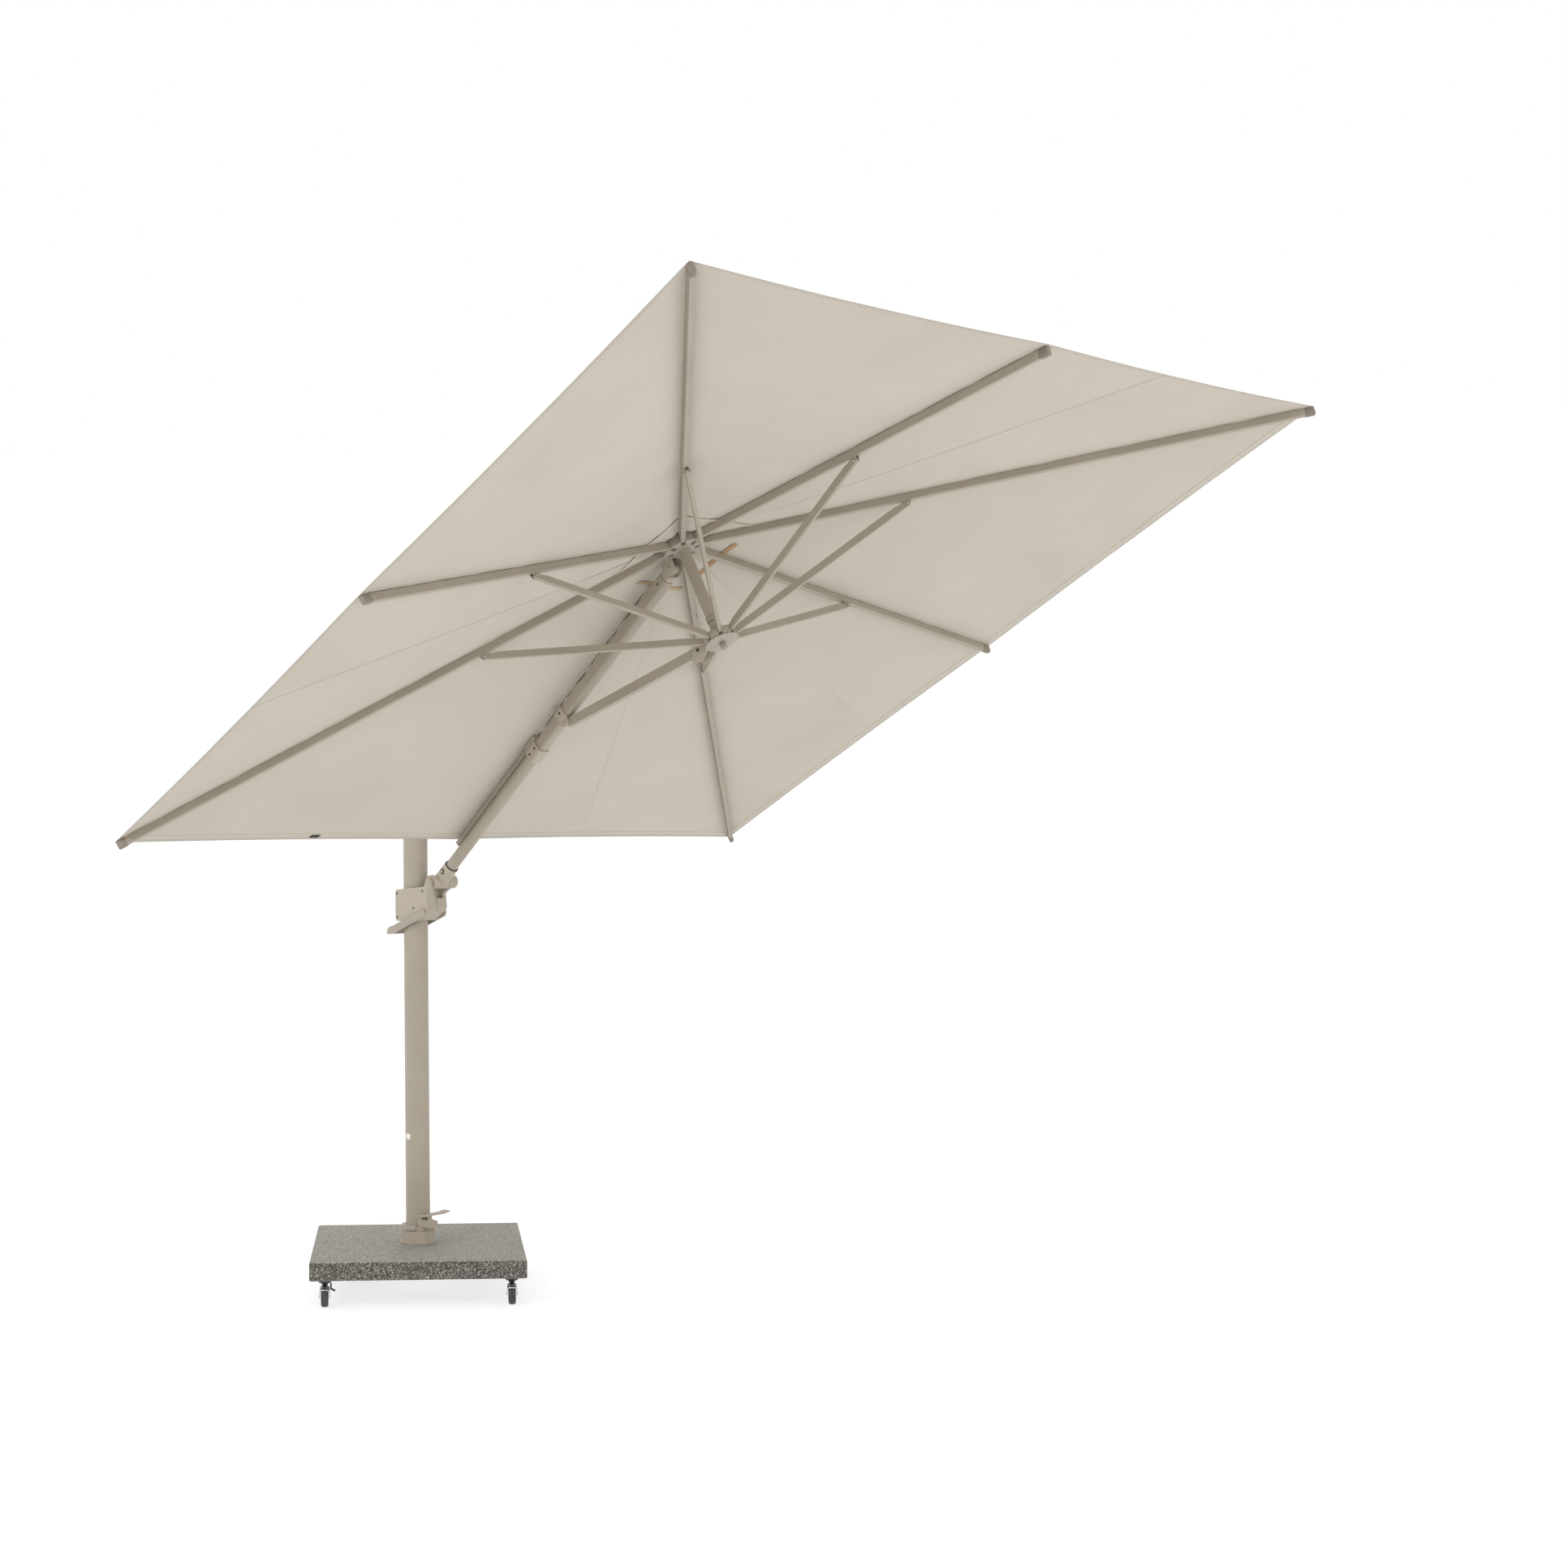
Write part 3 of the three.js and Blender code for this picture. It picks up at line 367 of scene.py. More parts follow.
TUBE_COAT = coated_metal("tube_coat", "#a39a8a", "#9a9182")
CAST_COAT = coated_metal("cast_coat", "#afa596", "#a59b8b", grain=450, roughness=0.48)
PLASTIC = moulded("taupe_plastic", "#a39a8c", "#989082")
DARK_PLASTIC = moulded("dark_plastic", "#3a3836", "#2c2b2a", roughness=0.55)
TIP_PLASTIC = moulded("tip_plastic", "#877e70", "#7b7264", roughness=0.5)
GRANITE = granite()
CHROME = bare_metal("chrome_plate", "#bfc1c3", 0.10)
ZINC = bare_metal("zinc_steel", "#9a9a98", 0.35, 0.15)
TYRE = rubber("castor_tyre", "#2a2a2c", 0.5)
HUB_NYLON = rubber("castor_nylon", "#1f1f20", 0.35)
CLOTH = woven("canopy_cloth", "#c2bbae", "#bab2a4")
# the seam cloth is the canopy's fabric, painted much darker as the shade in the gap between cloth and rib
SEAM_SHADE_CLOTH = woven("canopy_seam_painted_shade", "#7d7567", "#6e6659")
WEBBING = woven("strap_webbing", "#b08c6b", "#a07c5b", WEBBING_PITCH)
TAN_WEBBING = woven("tan_webbing", "#b39f7c", "#a8926e", WEBBING_PITCH)
PALE_WEBBING = woven("pale_webbing", "#c4b7a6", "#bcae9c", WEBBING_PITCH)
DARK_TAG = moulded("dark_tag", "#2b2928", "#201f1e", roughness=0.6)
BLANK_LABEL = moulded("blank_label", "#e9e7e3", "#dedcd8", roughness=0.4)

# ---------------------------------------------------------------- mesh helpers


def piece(name, verts, faces, place, material, body=None, slot=None):
    """A mesh given in a local frame, put in the shared frame and made to ride on a body."""
    mesh = bpy.data.meshes.new(name)
    mesh.from_pydata([place @ Vector(v) for v in verts], [], [tuple(map(int, f)) for f in faces])
    mesh.validate()
    mesh.polygons.foreach_set("use_smooth", [True] * len(mesh.polygons))
    mesh.materials.append(material)
    made = bpy.data.objects.new(name, mesh)
    bpy.context.scene.collection.objects.link(made)
    if body:
        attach(made, body)
    return made


def lathe(profile, segments=32):
    """A surface of revolution about z from (radius, height) pairs."""
    verts, faces, rings = [], [], []
    for radius, height in profile:
        if radius < 1e-7:
            rings.append([len(verts)] * segments)
            verts.append((0, 0, height))
            continue
        rings.append(list(range(len(verts), len(verts) + segments)))
        for i in range(segments):
            angle = 2 * math.pi * i / segments
            verts.append((radius * math.cos(angle), radius * math.sin(angle), height))
    for low, high in zip(rings, rings[1:]):
        for i in range(segments):
            j = (i + 1) % segments
            faces.append(list(dict.fromkeys([low[i], low[j], high[j], high[i]])))
    return verts, faces


def rounded_block(size, radius, segments=3):
    """A box centred on the origin with rounded edges."""
    bm = bmesh.new()
    bmesh.ops.create_cube(bm, size=1)
    bmesh.ops.scale(bm, vec=size, verts=bm.verts)
    bmesh.ops.bevel(bm, geom=bm.edges[:], offset=radius, segments=segments, profile=0.6, affect="EDGES")
    return drain(bm)


def rounded_plate(outline, thickness, radius, segments=3):
    """An outline in x and y with thickness along z, centred on z = 0, with rounded edges."""
    bm = bmesh.new()
    ring = [bm.verts.new((x, y, -thickness / 2)) for x, y in outline]
    face = bm.faces.new(ring)
    grown = bmesh.ops.extrude_face_region(bm, geom=[face])
    raised = [g for g in grown["geom"] if isinstance(g, bmesh.types.BMVert)]
    bmesh.ops.translate(bm, vec=(0, 0, thickness), verts=raised)
    bmesh.ops.recalc_face_normals(bm, faces=bm.faces)
    bmesh.ops.bevel(bm, geom=bm.edges[:], offset=radius, segments=segments, profile=0.6, affect="EDGES")
    return drain(bm)


def drain(bm):
    """The vertices and faces of a bmesh, which is then freed."""
    bm.verts.index_update()
    verts = [tuple(v.co) for v in bm.verts]
    faces = [[v.index for v in f.verts] for f in bm.faces]
    bm.free()
    return verts, faces


def moved(part, matrix):
    verts, faces = part
    return [tuple(matrix @ Vector(v)) for v in verts], faces


def together(*parts):
    """Several parts as one mesh."""
    verts, faces = [], []
    for part_verts, part_faces in parts:
        start = len(verts)
        verts.extend(part_verts)
        faces.extend([[i + start for i in f] for f in part_faces])
    return verts, faces


def along_y(sign=1):
    """Turns a part drawn along +z to point along +y or -y."""
    return Matrix.Rotation(-sign * math.pi / 2, 4, "X")


def across_x(sign=1):
    """Turns a part drawn along +z to point along +x or -x."""
    return Matrix.Rotation(sign * math.pi / 2, 4, "Y")


def screw_head(radius, height):
    """A domed socket-head screw, standing on z = 0, with its socket sunk in."""
    socket = radius * 0.45
    return lathe(
        [
            (0, 0),
            (radius, 0),
            (radius, height * 0.4),
            (radius * 0.86, height * 0.85),
            (radius * 0.6, height),
            (socket, height),
            (socket * 0.9, height * 0.3),
            (0, height * 0.3),
        ],
        18,
    )


def rivet_head(radius, height):
    """A domed rivet head, standing on z = 0."""
    dome = [(radius * math.cos(a), height * math.sin(a)) for a in np.linspace(0, math.pi / 2, 5)[:-1]]
    return lathe([(0, 0)] + dome + [(0, height)], 18)


def facing_out(head, x, half, z):
    """A head on each side of the plane y = 0, half away from it and facing out."""
    return [moved(head, Matrix.Translation((x, side * half, z)) @ along_y(side)) for side in (-1, 1)]


# ---------------------------------------------------------------- CAD nodes that stay


def dress(nodes, material, edge=0.0008):
    """Gives CAD nodes a material, rounded edges and smooth curved faces."""
    for name in nodes:
        node = frame["nodes"][name]
        node.data.materials.clear()
        node.data.materials.append(material)
        node.data.polygons.foreach_set("use_smooth", [True] * len(node.data.polygons))
        node.modifiers.new("weld", "WELD").merge_threshold = 1e-5
        rounding = node.modifiers.new("rounding", "BEVEL")
        rounding.width = edge
        rounding.segments = 3
        rounding.angle_limit = math.radians(35)
        rounding.harden_normals = False
        node.modifiers.new("normals", "WEIGHTED_NORMAL").keep_sharp = False


def named(*prefixes):
    return [n for n in frame["nodes"] if n.startswith(prefixes)]


dress(["base_slab"], GRANITE, 0.0012)
dress(["base_bottom_plate", *named("castor_plate")], ZINC)
dress(["mast_socket", "swivel_collar", "pedal_housing", "foot_pedal"], CAST_COAT, 0.0010)
dress(["mast_tube", "boom_lower_tube", "crown_post", "runner_stub", "edge_rib"], TUBE_COAT, 0.0006)
dress(named("rib_", "strut_") + ["boom_strut", "boom_upper_tube"], TUBE_COAT, 0.0012)
dress(["carriage_shell_right", "carriage_shell_left"], CAST_COAT, 0.0045)
dress(["carriage_grip", "tilt_lever"], PLASTIC, 0.0022)
dress(["pivot_pin", "boom_knuckle", "boom_sleeve", "strut_bracket", "boom_head"], CAST_COAT, 0.0015)
dress(["mast_top_cap", "crown_hub", "lower_hub", "finial_cap", "roll_button"], PLASTIC, 0.0010)
dress(["crown_pin_ring"], ZINC)
dress(["carriage_glide_upper", "carriage_glide_lower"], DARK_PLASTIC)

# ---------------------------------------------------------------- castors


def castor_wheel(centre, body, node):
    """A nylon wheel with a rubber tyre; z of the lathe runs along the axle."""
    tread = [
        (WHEEL_RADIUS - 0.0035 * (1 - math.cos(a)), (WHEEL_HALF - 0.001) * math.sin(a))
        for a in np.linspace(-1.25, 1.25, 9)
    ]
    wall = [(0.033, WHEEL_HALF), (0.029, WHEEL_HALF), (0.027, WHEEL_HALF * 0.86)]
    tyre = [(r, -z) for r, z in reversed(wall)] + tread + wall
    tyre.append(tyre[0])
    half_hub = [
        (0, -0.0125),
        (0.008, -0.0125),
        (0.009, -0.011),
        (0.012, -0.0085),
        (0.023, -0.0085),
        (0.0265, -0.0105),
        (0.0274, -0.0105),
    ]
    hub = half_hub + [(r, -z) for r, z in reversed(half_hub)]
    place = Matrix.Translation(centre) @ across_x()
    rim = piece(f"{node}_tyre", *lathe(tyre, 48), place, TYRE, body, "castor_wheel")
    piece(f"{node}_hub", *lathe(hub, 40), place, HUB_NYLON, body, "castor_wheel")
    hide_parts(node)


HOOD_SHEET = 0.0013
HOOD_ANGLES = np.radians(np.linspace(22, 138, 22))  # about the axle, from straight above


def castor_hood():
    """A bent sheet in an arch about x: narrow flat cheeks, and a rounded crown over the tyre."""
    side = [(0.008, 0.0182), (0.026, 0.0190), (0.036, 0.0178), (0.0405, 0.0130), (0.0420, 0.0)]
    outer = side + [(r, -across) for r, across in reversed(side[:-1])]
    inner = [
        (r - HOOD_SHEET if r > 0.03 else r, across - math.copysign(HOOD_SHEET, across))
        for r, across in outer
    ]
    ring = outer + inner[::-1]
    count = len(ring)
    verts = [(across, r * math.cos(a), r * math.sin(a)) for a in HOOD_ANGLES for r, across in ring]
    faces = []
    for start in range(0, len(verts) - count, count):
        for k in range(count):
            j = (k + 1) % count
            faces.append([start + k, start + j, start + count + j, start + count + k])
    faces += [list(range(count))[::-1], list(range(len(verts) - count, len(verts)))]
    return verts, faces


def castor_fork(corner, x, y):
    """A chrome hood over the wheel, the swivel's neck above it and the axle's caps."""
    body = f"fork_{corner}"
    axle = Matrix.Translation((x, y - CASTOR_TRAIL, AXLE_HEIGHT))
    hood = piece(f"castor_hood_{corner}", *castor_hood(), axle, CHROME, body, "chrome")
    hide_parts(f"castor_fork_{corner}")
    neck = [
        (0, -0.0228),
        (0.0110, -0.0228),
        (0.0125, -0.0170),
        (0.0215, -0.0140),
        (0.0235, -0.0115),
        (0.0240, -0.0065),
        (0.0215, -0.0055),
        (0, -0.0055),
    ]
    cap = rivet_head(0.0062, 0.0020)
    caps = [
        moved(cap, Matrix.Translation((side * 0.0180, -CASTOR_TRAIL, AXLE_HEIGHT)) @ across_x(side))
        for side in (-1, 1)
    ]
    trim = together(lathe(neck, 32), *caps)
    piece(f"castor_trim_{corner}", *trim, Matrix.Translation((x, y, 0)), HUB_NYLON, body, "castor_wheel")


for corner, side_x, side_y in (
    ("front_left", -1, -1),
    ("front_right", 1, -1),
    ("rear_right", 1, 1),
    ("rear_left", -1, 1),
):
    x, y = side_x * CASTOR_OFFSET, side_y * CASTOR_OFFSET
    castor_wheel((x, y - CASTOR_TRAIL, AXLE_HEIGHT), f"wheel_{corner}", f"castor_wheel_{corner}")
    castor_fork(corner, x, y)


def castor_brake():
    """The brake pedal on the front left castor: a tab that slopes down beside the wheel."""
    tab = [(0, -0.010), (0.016, -0.010), (0.020, 0), (0.016, 0.010), (0, 0.010)]
    plate = moved(rounded_plate(tab, 0.004, 0.0012, 2), Matrix.Rotation(math.radians(25), 4, "Y"))
    stem = moved(rounded_block((0.006, 0.014, 0.022), 0.0012, 2), Matrix.Translation((0.001, 0, 0.010)))
    place = Matrix.Translation((-CASTOR_OFFSET + 0.0215, -CASTOR_OFFSET - 0.006, -0.036))
    piece("castor_brake", *together(plate, stem), place, HUB_NYLON, "fork_front_left", "castor_wheel")


castor_brake()

# ---------------------------------------------------------------- canopy


def canopy_surface(index, u, t):
    """The cloth in a sector's frame.

    u is 0 on its own rib and -1 or 1 on the neighbouring ribs. t runs from 0 at the crown's axis to 1
    at the edge.
    """
    side = np.where(u < 0, -1.0, 1.0)
    share = np.abs(u)
    other = index + 1
    own, far = tip_radius_of(index), tip_radius_of(other)
    x = own * t * (1 - share) + far * t * HALF_DIAGONAL * share
    y = far * t * HALF_DIAGONAL * share * side
    drop_own = (own * t - HINGE_RADIUS) * math.tan(slope_of(index))
    drop_far = (far * t - HINGE_RADIUS) * math.tan(slope_of(other))
    z = LIFT - drop_own * (1 - share) - drop_far * share
    bow = 4 * share * (1 - share)
    inward = SCALLOP * bow * t**6
    normal = np.radians(45) * side if is_corner(index) else np.zeros_like(u)
    x = x - inward * np.cos(normal)
    y = y - inward * np.sin(normal)
    z = z - SAG * bow * np.sin(np.pi * np.clip(t, 0, 1) ** 0.8)
    z = z + ripples(index, u, t)
    return np.stack([x, y, z], -1)


def ripples(index, u, t):
    """Puckers along each rib's seam, and slack folds round the opening."""
    share = np.abs(u)
    near = np.minimum(share, 1 - share)
    along = t * HALF_SIDE
    rib_here = np.where(share < 0.5, index, index + np.sign(u))
    phase = 1.7 * np.mod(rib_here, 8)
    beat = np.sin(along * 47 + phase) * np.sin(along * 19 + 2.3 * phase)
    pucker = PUCKER * np.exp(-near / PUCKER_REACH) * beat
    close = np.exp(-((t - 0.10) / 0.10) ** 2)
    slack = SLACK * close * np.sin(4 * np.pi * share + phase) * np.sin(np.pi * np.clip(near * 2, 0, 1))
    return np.minimum(pucker, 0) + slack - SLACK * close * near


def cloth_piece(name, rows, place, body, material):
    """A sheet from a grid of points in a local frame, with its UV map in metres."""
    count, across = rows.shape[:2]
    grid = np.arange(count * across).reshape(count, across)
    quads = np.stack([grid[:-1, :-1], grid[1:, :-1], grid[1:, 1:], grid[:-1, 1:]], -1)
    verts, faces = rows.reshape(-1, 3), quads.reshape(-1, 4)
    made = piece(name, verts, faces, place, material, body, "canopy_cloth")
    metres = made.data.uv_layers.new(name="metres")
    corners = np.zeros(len(made.data.loops), np.int32)
    made.data.loops.foreach_get("vertex_index", corners)
    metres.data.foreach_set("uv", verts[corners, :2].astype(np.float32).ravel())
    return made


def narrow_with_rib(cloth):
    """Gives the cloth its own copy of its mesh."""
    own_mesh(cloth)


def stretched_sheet(cloth):
    """Gives a panel its own copy of its mesh."""
    narrow_with_rib(cloth)


def layer_of(index):
    return 0.0 if is_corner(index) else LAYER


def canopy_panel(index):
    """One rib's share of the canopy, from the opening to a turned hem, reaching a little past mid-gore."""
    u = np.linspace(-OVERLAP, OVERLAP, 49)
    near_crown = np.linspace(OPENING_HALF / HALF_SIDE, 0.22, 22)
    t = np.concatenate([near_crown[:-1], np.linspace(near_crown[-1], 1, 60)])
    uu, tt = np.meshgrid(u, t)
    rows = canopy_surface(index, uu, tt)
    layer = layer_of(index)
    rows[..., 2] += layer
    turn = rows[-1].copy()
    turn[:, 2] -= HEM_TURN
    back = canopy_surface(index, u, np.full_like(u, 1 - HEM / HALF_SIDE))
    back[:, 2] += layer - HEM_BACK
    hemmed = np.concatenate([rows, [turn], [back]])
    name = f"canopy_panel_{RIB_SIDES[index] or 'rear'}"
    cloth = cloth_piece(name, hemmed, sector_frame(index), body_of_sector(index), CLOTH)
    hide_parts("canopy")
    stretched_sheet(cloth)


def vent_panel(index):
    """One rib's share of the vent cap, a shallow tent over the canopy's opening."""
    u = np.linspace(-OVERLAP, OVERLAP, 25)
    t = np.linspace(0, 1, 24)
    uu, tt = np.meshgrid(u, t)
    share = np.abs(uu)
    scale = VENT_CAP_HALF / HALF_SIDE
    reaches = [tip_radius_of(rib) * scale for rib in (index, index + 1)]
    own, far = (VENT_PANEL_INNER + (reach - VENT_PANEL_INNER) * tt for reach in reaches)
    x = own * (1 - share) + far * HALF_DIAGONAL * share
    y = far * HALF_DIAGONAL * share * np.sign(uu)
    z = VENT_PANEL_TOP + (VENT_CAP_EDGE - VENT_PANEL_TOP) * tt
    z = z - VENT_SAG * 4 * share * (1 - share) * np.sin(np.pi * tt)
    rows = np.stack([x, y, z + layer_of(index)], -1)
    hem = rows[-1].copy()
    hem[:, 2] -= VENT_HEM_TURN
    inner = rows[-3].copy()
    inner[:, 2] -= VENT_HEM_BACK
    hemmed = np.concatenate([rows, [hem], [inner]])
    name = f"vent_panel_{RIB_SIDES[index] or 'rear'}"
    cloth = cloth_piece(name, hemmed, sector_frame(index), body_of_sector(index), CLOTH)
    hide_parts("vent_cap")
    stretched_sheet(cloth)


def seam_flange(index):
    """The seam allowance that hangs beside a rib, puckered along its stitches, in cloth painted dark as
    the shade in the gap between the cloth and the rib.
    """
    t = np.linspace(0.13, 0.985, 220)
    line = canopy_surface(index, np.zeros_like(t), t)
    along = t * tip_radius_of(index)
    side = 1 if index in (0, 1, 2, 7) else -1
    rows = []
    for depth in (0.0, 0.5, 1.0):
        row = line.copy()
        wave = PUCKER * np.sin(along * 95 + index) * np.sin(along * 31 + 2 * index)
        row[:, 1] += side * (RIB_HALF_WIDTH + 0.0022 + depth * (0.0015 + wave))
        hang = 0.0045 + 0.003 * np.sin(along * 23 + 3 * index) * np.sin(along * 61)
        row[:, 2] -= 0.0018 + depth * hang
        rows.append(row)
    name = f"canopy_seam_painted_shade_{RIB_SIDES[index] or 'rear'}"
    cloth_piece(name, np.stack(rows), sector_frame(index), body_of_sector(index), SEAM_SHADE_CLOTH)


for index in range(8):
    canopy_panel(index)
    vent_panel(index)
    seam_flange(index)

# ---------------------------------------------------------------- ribs and hubs


def rib_fittings(index):
    """A rib's end plug and the rivets of its plug and its strut."""
    place = rib_frame(index)
    side = RIB_SIDES[index]
    length = (tip_radius_of(index) - HINGE_RADIUS - TIP_INSET) / math.cos(slope_of(index))
    pivot = (STRUT_RADIUS - HINGE_RADIUS) / math.cos(slope_of(index))
    shroud = rounded_block((0.034, 0.0185, 0.0285), 0.004)
    plug = moved(shroud, Matrix.Translation((length - 0.0135, 0, -0.0012)))
    piece(f"rib_plug_{side}", *plug, place, TIP_PLASTIC, f"rib_{side}", "moulded_plastic")
    heads = facing_out(rivet_head(0.0058, 0.0024), pivot, RIB_HALF_WIDTH + 0.0018, -STRUT_DROP)
    heads += facing_out(rivet_head(0.0040, 0.0014), length - 0.045, RIB_HALF_WIDTH, 0)
    piece(f"rib_rivets_{side}", *together(*heads), place, ZINC, f"rib_{side}", "steel")


for index, side in enumerate(RIB_SIDES):
    if side:
        rib_fittings(index)


def hub_cover():
    """The lower hub's flat underside with its notched rim, and the button in its middle."""
    notches, steps = 16, 8
    outline = []
    for i in range(notches * steps):
        angle = 2 * math.pi * i / (notches * steps)
        radius = 0.0600 if i % steps < 5 else 0.0568
        outline.append((radius * math.cos(angle), radius * math.sin(angle)))
    cover = moved(
        rounded_plate(outline, 0.0052, 0.0010, 2), Matrix.Translation((0, 0, HUB_BOTTOM - 0.0032))
    )
    profile = [(0, 0), (0.0110, 0), (0.0110, -0.021), (0.0098, -0.0255), (0.006, -0.0270), (0, -0.0272)]
    button = moved(lathe(profile, 28), Matrix.Translation((0, 0, HUB_BOTTOM - 0.0055)))
    piece("hub_cover", *together(cover, button), CROWN, PLASTIC, "runner", "moulded_plastic")


def post_collar():
    """The collar at the post's lower end."""
    profile = [
        (0.0176, -0.2965),
        (0.0212, -0.2965),
        (0.0222, -0.2950),
        (0.0222, -0.2790),
        (0.0212, -0.2775),
        (0.0202, -0.2775),
        (0.0202, -0.2965),
        (0.0176, -0.2965),
    ]
    piece("post_collar", *lathe(profile, 40), CROWN, PLASTIC, "crown", "moulded_plastic")


def runner_sleeve():
    """The lower hub's sleeve, which carries the post's width down to the hub."""
    profile = [(0, -0.3435), (0.0200, -0.3435), (0.0200, -0.2995), (0.0192, -0.2985), (0, -0.2985)]
    piece("runner_sleeve", *lathe(profile, 40), CROWN, TUBE_COAT, "runner", "coated_tube")


def cheek_pair(outline, inner, thickness):
    """Two plates with an outline in x and z, standing off the plane y = 0 on either side."""
    plate = rounded_plate(outline, thickness, 0.0011, 2)
    upright = Matrix.Rotation(math.pi / 2, 4, "X")
    offset = inner + thickness / 2
    sides = [Matrix.Translation((0, side * offset, 0)) for side in (-1, 1)]
    return together(*(moved(plate, place @ upright) for place in sides))


def hub_lug():
    """The broad cheeks that take the boom strut's inner bolt."""
    outline = [
        (-0.046, -0.343),
        (-0.046, -0.3745),
        (-0.090, -0.394),
        (-0.124, -0.384),
        (-0.130, -0.366),
        (-0.108, -0.340),
    ]
    cheeks = cheek_pair(outline, 0.0195, 0.0035)
    piece("hub_lug", *cheeks, CROWN, CAST_COAT, "runner", "coated_casting")
    bolt = BOOM_STRUT_INNER
    heads = facing_out(screw_head(0.0060, 0.0026), bolt.x, 0.0228, bolt.z)
    piece("hub_lug_bolt", *together(*heads), CROWN, DARK_PLASTIC, "runner", "steel")


def boom_cheeks():
    """The crown's cheeks on either side of the boom's end, round its pin."""
    pin = BOOM_HINGE
    radius = 0.027
    angles = np.linspace(-math.pi, 0, 13)
    below = [(pin.x + radius * math.cos(a), pin.z + radius * math.sin(a)) for a in angles]
    outline = [(pin.x - radius, -0.012)] + below + [(pin.x + radius, -0.012)]
    cheeks = cheek_pair(outline, 0.0205, 0.0032)
    piece("boom_cheeks", *cheeks, CROWN, CAST_COAT, "crown", "coated_casting")
    heads = facing_out(screw_head(0.0060, 0.0026), pin.x, 0.0236, pin.z)
    piece("boom_pin_heads", *together(*heads), CROWN, ZINC, "crown", "steel")


hub_cover()
post_collar()
runner_sleeve()
hub_lug()
boom_cheeks()

# ---------------------------------------------------------------- boom and carriage


def screws(name, body, place, spots, half, radius, height=0.0022):
    """Screw heads on both sides of y = 0, half away from it, at (x, z) spots, dark as painted shade for
    the recesses the screws sit in.
    """
    head = screw_head(radius, height)
    heads = [one for x, z in spots for one in facing_out(head, x, half, z)]
    # the heads are real screws, and their dark plastic is painted shade for the recesses round them
    piece(name, *together(*heads), place, DARK_PLASTIC, body, "steel")


CARRIAGE_SCREWS = [(-0.056, -0.046), (-0.054, -0.136), (0.096, -0.034), (0.042, -0.100)]
CARRIAGE = TURRET @ Matrix.Translation((0, 0, PIVOT.z))
SLEEVE_AT = boom_at(SLEEVE_X)
BRACKET_AT = boom_at(BOOM_STRUT_OUTER_X)
HEAD_AT = BOOM_LENGTH - 0.075

screws("carriage_screws", "carriage", CARRIAGE, CARRIAGE_SCREWS, 0.0466, 0.0052, 0.0012)
screws("sleeve_screws", "boom", BOOM, [(SLEEVE_AT - 0.016, 0.0), (SLEEVE_AT + 0.017, 0.0)], 0.0249, 0.0046)
screws("bracket_screws", "boom", BOOM, [(BRACKET_AT + 0.006, 0.004)], 0.0239, 0.0050)
screws("head_screws", "boom", BOOM, [(HEAD_AT, 0.0)], 0.0199, 0.0040)


def collar_seal():
    """The dark ring where the boom enters the knuckle's collar."""
    profile = [
        (0.0232, 0.0905),
        (0.0262, 0.0905),
        (0.0270, 0.0925),
        (0.0262, 0.0945),
        (0.0232, 0.0950),
        (0.0232, 0.0905),
    ]
    place = BOOM @ across_x()
    piece("collar_seal", *lathe(profile, 36), place, DARK_PLASTIC, "knuckle", "glide_plastic")


collar_seal()


def button_gap_shade():
    """A dark plastic ring round the roll button, painted as the shade in the gap there."""
    profile = [(0.0074, 0), (0.0104, 0), (0.0108, 0.0010), (0.0104, 0.0022), (0.0074, 0.0022), (0.0074, 0)]
    # painted shade: the ring's dark colour stands for the shadow in the gap round the button
    place = BOOM @ Matrix.Translation((0.062, -0.0272, 0)) @ along_y(-1)
    piece("button_gap_shade", *lathe(profile, 28), place, DARK_PLASTIC, "knuckle", "glide_plastic")


button_gap_shade()


def boom_end_cover():
    """The moulding that carries the tube's shape on to the crown's ears."""
    near, far = BOOM_LENGTH - 0.047, BOOM_LENGTH - 0.019
    block = rounded_block((far - near, 0.0388, 0.0488), 0.0075, 4)
    cover = moved(block, Matrix.Translation(((near + far) / 2, 0, 0)))
    piece("boom_end_cover", *cover, BOOM, CAST_COAT, "boom", "coated_casting")


boom_end_cover()


def clamp_band():
    """The raised band and bright bolt that clamp the mast's foot, on the collar's flat at -45 degrees."""
    flat = TURRET @ Matrix.Rotation(-math.pi / 4, 4, "Z") @ Matrix.Translation((0.064, 0, 0.129))
    strip = rounded_block((0.006, 0.046, 0.021), 0.0026)
    band = moved(strip, Matrix.Translation((0.0006, -0.024, 0.0045)))
    piece("clamp_band", *band, flat, CAST_COAT, "mast", "coated_casting")
    bolt = moved(screw_head(0.0066, 0.0030), Matrix.Translation((0.0036, -0.013, 0)) @ across_x(1))
    piece("clamp_bolt", *bolt, flat, ZINC, "mast", "steel")


clamp_band()


def edge_rib_plug():
    """The pale plug in the edge rib's tip."""
    tip = boom_at(-HALF_SIDE + TIP_INSET)
    above = -BOOM_HINGE.z * math.cos(MID_SLOPE) - (-BOOM_HINGE.x - HINGE_RADIUS) * math.sin(MID_SLOPE)
    block = rounded_block((0.012, 0.0185, 0.0185), 0.003)
    plug = moved(block, Matrix.Translation((tip - 0.003, 0, above)))
    piece("edge_rib_plug", *plug, BOOM, PLASTIC, "boom", "moulded_plastic")


edge_rib_plug()


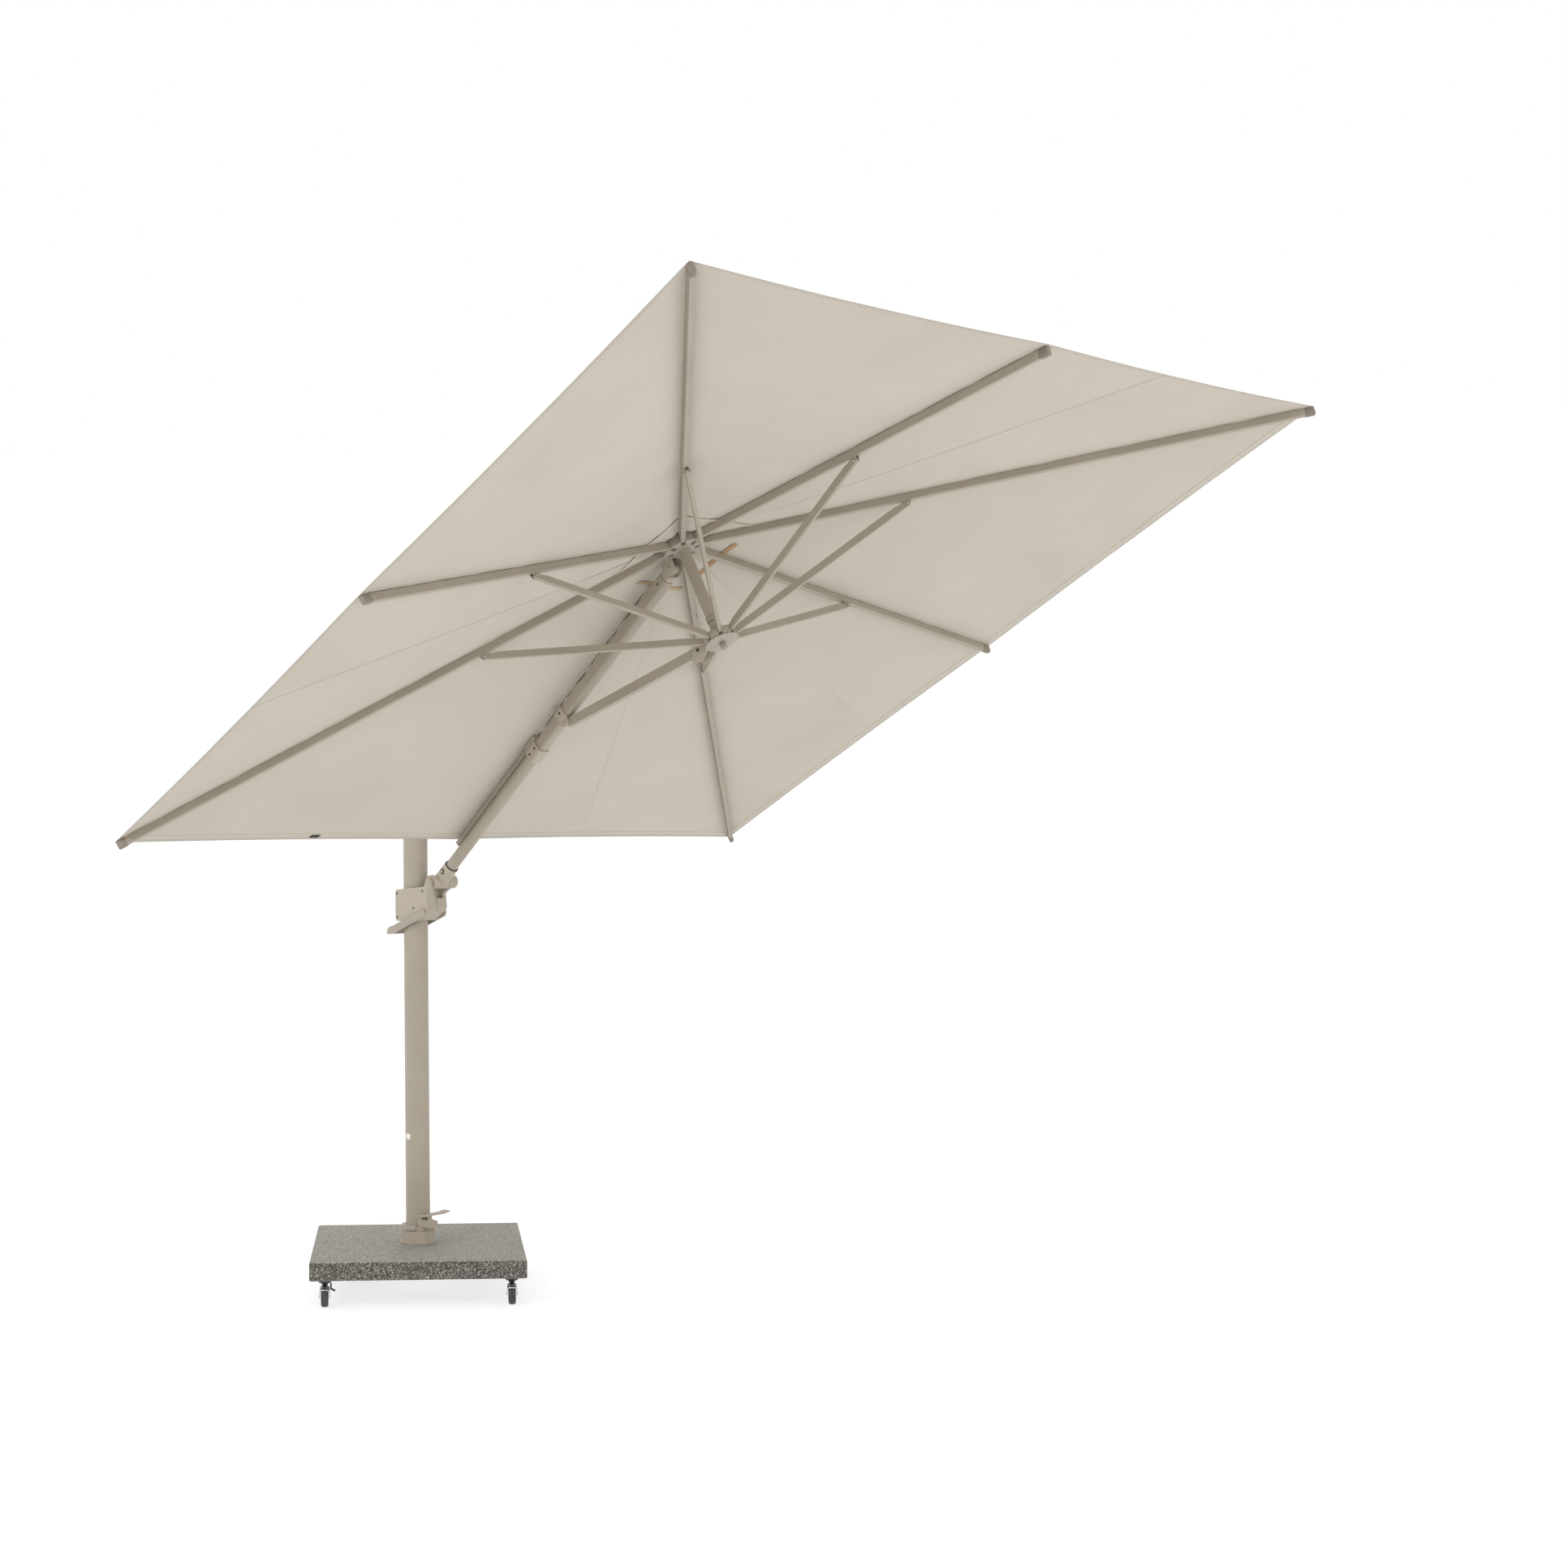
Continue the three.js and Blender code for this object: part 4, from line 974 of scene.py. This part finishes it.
def mast_label():
    """A blank pale label on the mast's long side, above the pedal."""
    width, height, thickness = 0.026, 0.022, 0.0006
    corners = [(x * width / 2, y * height / 2) for x, y in ((-1, -1), (1, -1), (1, 1), (-1, 1))]
    plate = rounded_plate(corners, thickness, 0.0002, 1)
    spot = Matrix.Translation((-0.008, 0.0002 - MAST_HALF_DEPTH, 0.477))
    place = TURRET @ spot @ Matrix.Rotation(math.pi / 2, 4, "X")
    piece("mast_label", *plate, place, BLANK_LABEL, "mast", "moulded_plastic")


def canopy_tag():
    """A blank dark tag sewn under the canopy's lowest edge."""
    index = RIB_SIDES.index(None)
    u, t = np.meshgrid(np.linspace(0.452, 0.479, 6), np.linspace(0.983, 0.992, 3))
    rows = canopy_surface(index, u, t)
    rows[..., 2] -= 0.0030
    tag = cloth_piece("canopy_tag", rows, sector_frame(index), body_of_sector(index), DARK_TAG)
    narrow_with_rib(tag)


mast_label()
canopy_tag()

# ---------------------------------------------------------------- tapes under the canopy


TAPE_DEPTH = 0.0026  # below the cloth
TAPE_WIDTH = 0.019
NARROW_TAPE_WIDTH = 0.013


def tape_point(x, y):
    """A point under the cloth and above the ribs, at x and y of the crown's frame."""
    reach = max(abs(x), abs(y))
    share = min(abs(x), abs(y)) / reach
    drop_mid = (reach - HINGE_RADIUS) * math.tan(MID_SLOPE)
    drop_corner = (reach * math.sqrt(2) - HINGE_RADIUS) * math.tan(CORNER_SLOPE)
    sag = SAG * 4 * share * (1 - share) * math.sin(math.pi * (reach / HALF_SIDE) ** 0.8)
    return (x, y, LIFT - TAPE_DEPTH - sag - drop_mid * (1 - share) - drop_corner * share)


def tape(name, start, end, width, material):
    """A straight sewn tape. Each rib carries the length that lies nearest to it."""
    start, end = Vector(start), Vector(end)
    across = (end - start).orthogonal().normalized() * width / 2
    steps = 40
    spans_of = {}
    for step in range(steps):
        ends = [start.lerp(end, (step + k) / steps) for k in (0, 1)]
        middle = (ends[0] + ends[1]) / 2
        index = round(math.degrees(math.atan2(middle.y, middle.x)) / 45) % 8
        spans_of.setdefault(index, []).append(ends)
    for index, spans in spans_of.items():
        line = [spans[0][0]] + [span[1] for span in spans]
        rows = [[tape_point(*(point + across * edge)) for edge in (-1, 0, 1)] for point in line]
        side = RIB_SIDES[index] or "rear"
        strip = cloth_piece(f"{name}_{side}", np.array(rows), CROWN, body_of_sector(index), material)
        narrow_with_rib(strip)


tape("tape_left", (-0.165, 0.172), (0.078, 0.182), TAPE_WIDTH, WEBBING)
tape("tape_rear", (-0.190, -0.060), (-0.200, 0.165), NARROW_TAPE_WIDTH, TAN_WEBBING)
tape("tape_front", (0.180, -0.165), (0.180, 0.165), TAPE_WIDTH, PALE_WEBBING)
tape("tape_right", (-0.165, -0.180), (0.165, -0.180), TAPE_WIDTH, PALE_WEBBING)

# ---------------------------------------------------------------- stage, lights, camera


FLOOR_RADIUS = 22
BACKDROP_RADIUS = 8


def studio():
    """A pale floor that curves up into a round backdrop."""
    m = Nodes("studio_floor")
    m.shade(
        Base_Color=m.ramp(m.noise(0.6, 2), [(0.2, srgb("#9c9c9c")), (0.8, srgb("#9e9e9e"))]),
        Roughness=1.0,
        Emission_Color=(1, 1, 1, 1),
        Emission_Strength=0.72,
    )
    profile = [(0, 0)] + [(r, 0) for r in np.linspace(2, FLOOR_RADIUS, 11)]
    profile += [
        (FLOOR_RADIUS + BACKDROP_RADIUS * math.sin(a), BACKDROP_RADIUS - BACKDROP_RADIUS * math.cos(a))
        for a in np.linspace(0.1, math.pi / 2, 14)
    ]
    below_wheels = Matrix.Translation((0, 0, FLOOR - 0.0005))
    floor = piece("studio_floor", *lathe(profile, 96), below_wheels, m.material)


def light(name, place, target, size, power, colour=(1, 1, 1)):
    data = bpy.data.lights.new(name, "AREA")
    data.shape = "DISK"
    data.size = size
    data.energy = power
    data.color = colour
    lamp = bpy.data.objects.new(name, data)
    lamp.location = place
    lamp.rotation_mode = "QUATERNION"
    lamp.rotation_quaternion = (Vector(target) - Vector(place)).to_track_quat("-Z", "Y")
    bpy.context.scene.collection.objects.link(lamp)


def world():
    sky = bpy.data.worlds.new("soft_sky")
    sky.use_nodes = True
    background = sky.node_tree.nodes["Background"]
    background.inputs["Color"].default_value = (1, 1, 1, 1)
    background.inputs["Strength"].default_value = 1.0
    bpy.context.scene.world = sky


CAMERA_PLACE = (0.0083, -8.7421, 1.6403)
CAMERA_TURN = (87.879, -0.355, -0.405)  # azimuth, elevation and roll, in degrees


def camera():
    """At the height of the mast's upper half, near level, looking almost along the slab's side edges."""
    azimuth, elevation, roll = (math.radians(a) for a in CAMERA_TURN)
    flat = math.cos(elevation)
    ahead = Vector((flat * math.cos(azimuth), flat * math.sin(azimuth), math.sin(elevation)))
    level = Vector((math.sin(azimuth), -math.cos(azimuth), 0))
    up = level.cross(ahead)
    right = math.cos(roll) * level + math.sin(roll) * up
    up = math.cos(roll) * up - math.sin(roll) * level
    data = bpy.data.cameras.new("camera")
    data.sensor_width = 36
    data.lens = 52.213
    data.shift_x = 0.18
    data.shift_y = 0.04
    eye = bpy.data.objects.new("camera", data)
    turn = Matrix((right, up, -ahead)).transposed().to_4x4()
    eye.matrix_world = Matrix.Translation(CAMERA_PLACE) @ turn
    bpy.context.scene.collection.objects.link(eye)
    bpy.context.scene.camera = eye


studio()
world()
light("key", (-6, -7, 7), (0.8, -1, 1.2), 5, 220, (1, 0.99, 0.97))
light("fill", (7, -6, 2.5), (1, -0.5, 1.5), 5, 60)
camera()
bpy.context.scene.view_settings.view_transform = "Standard"
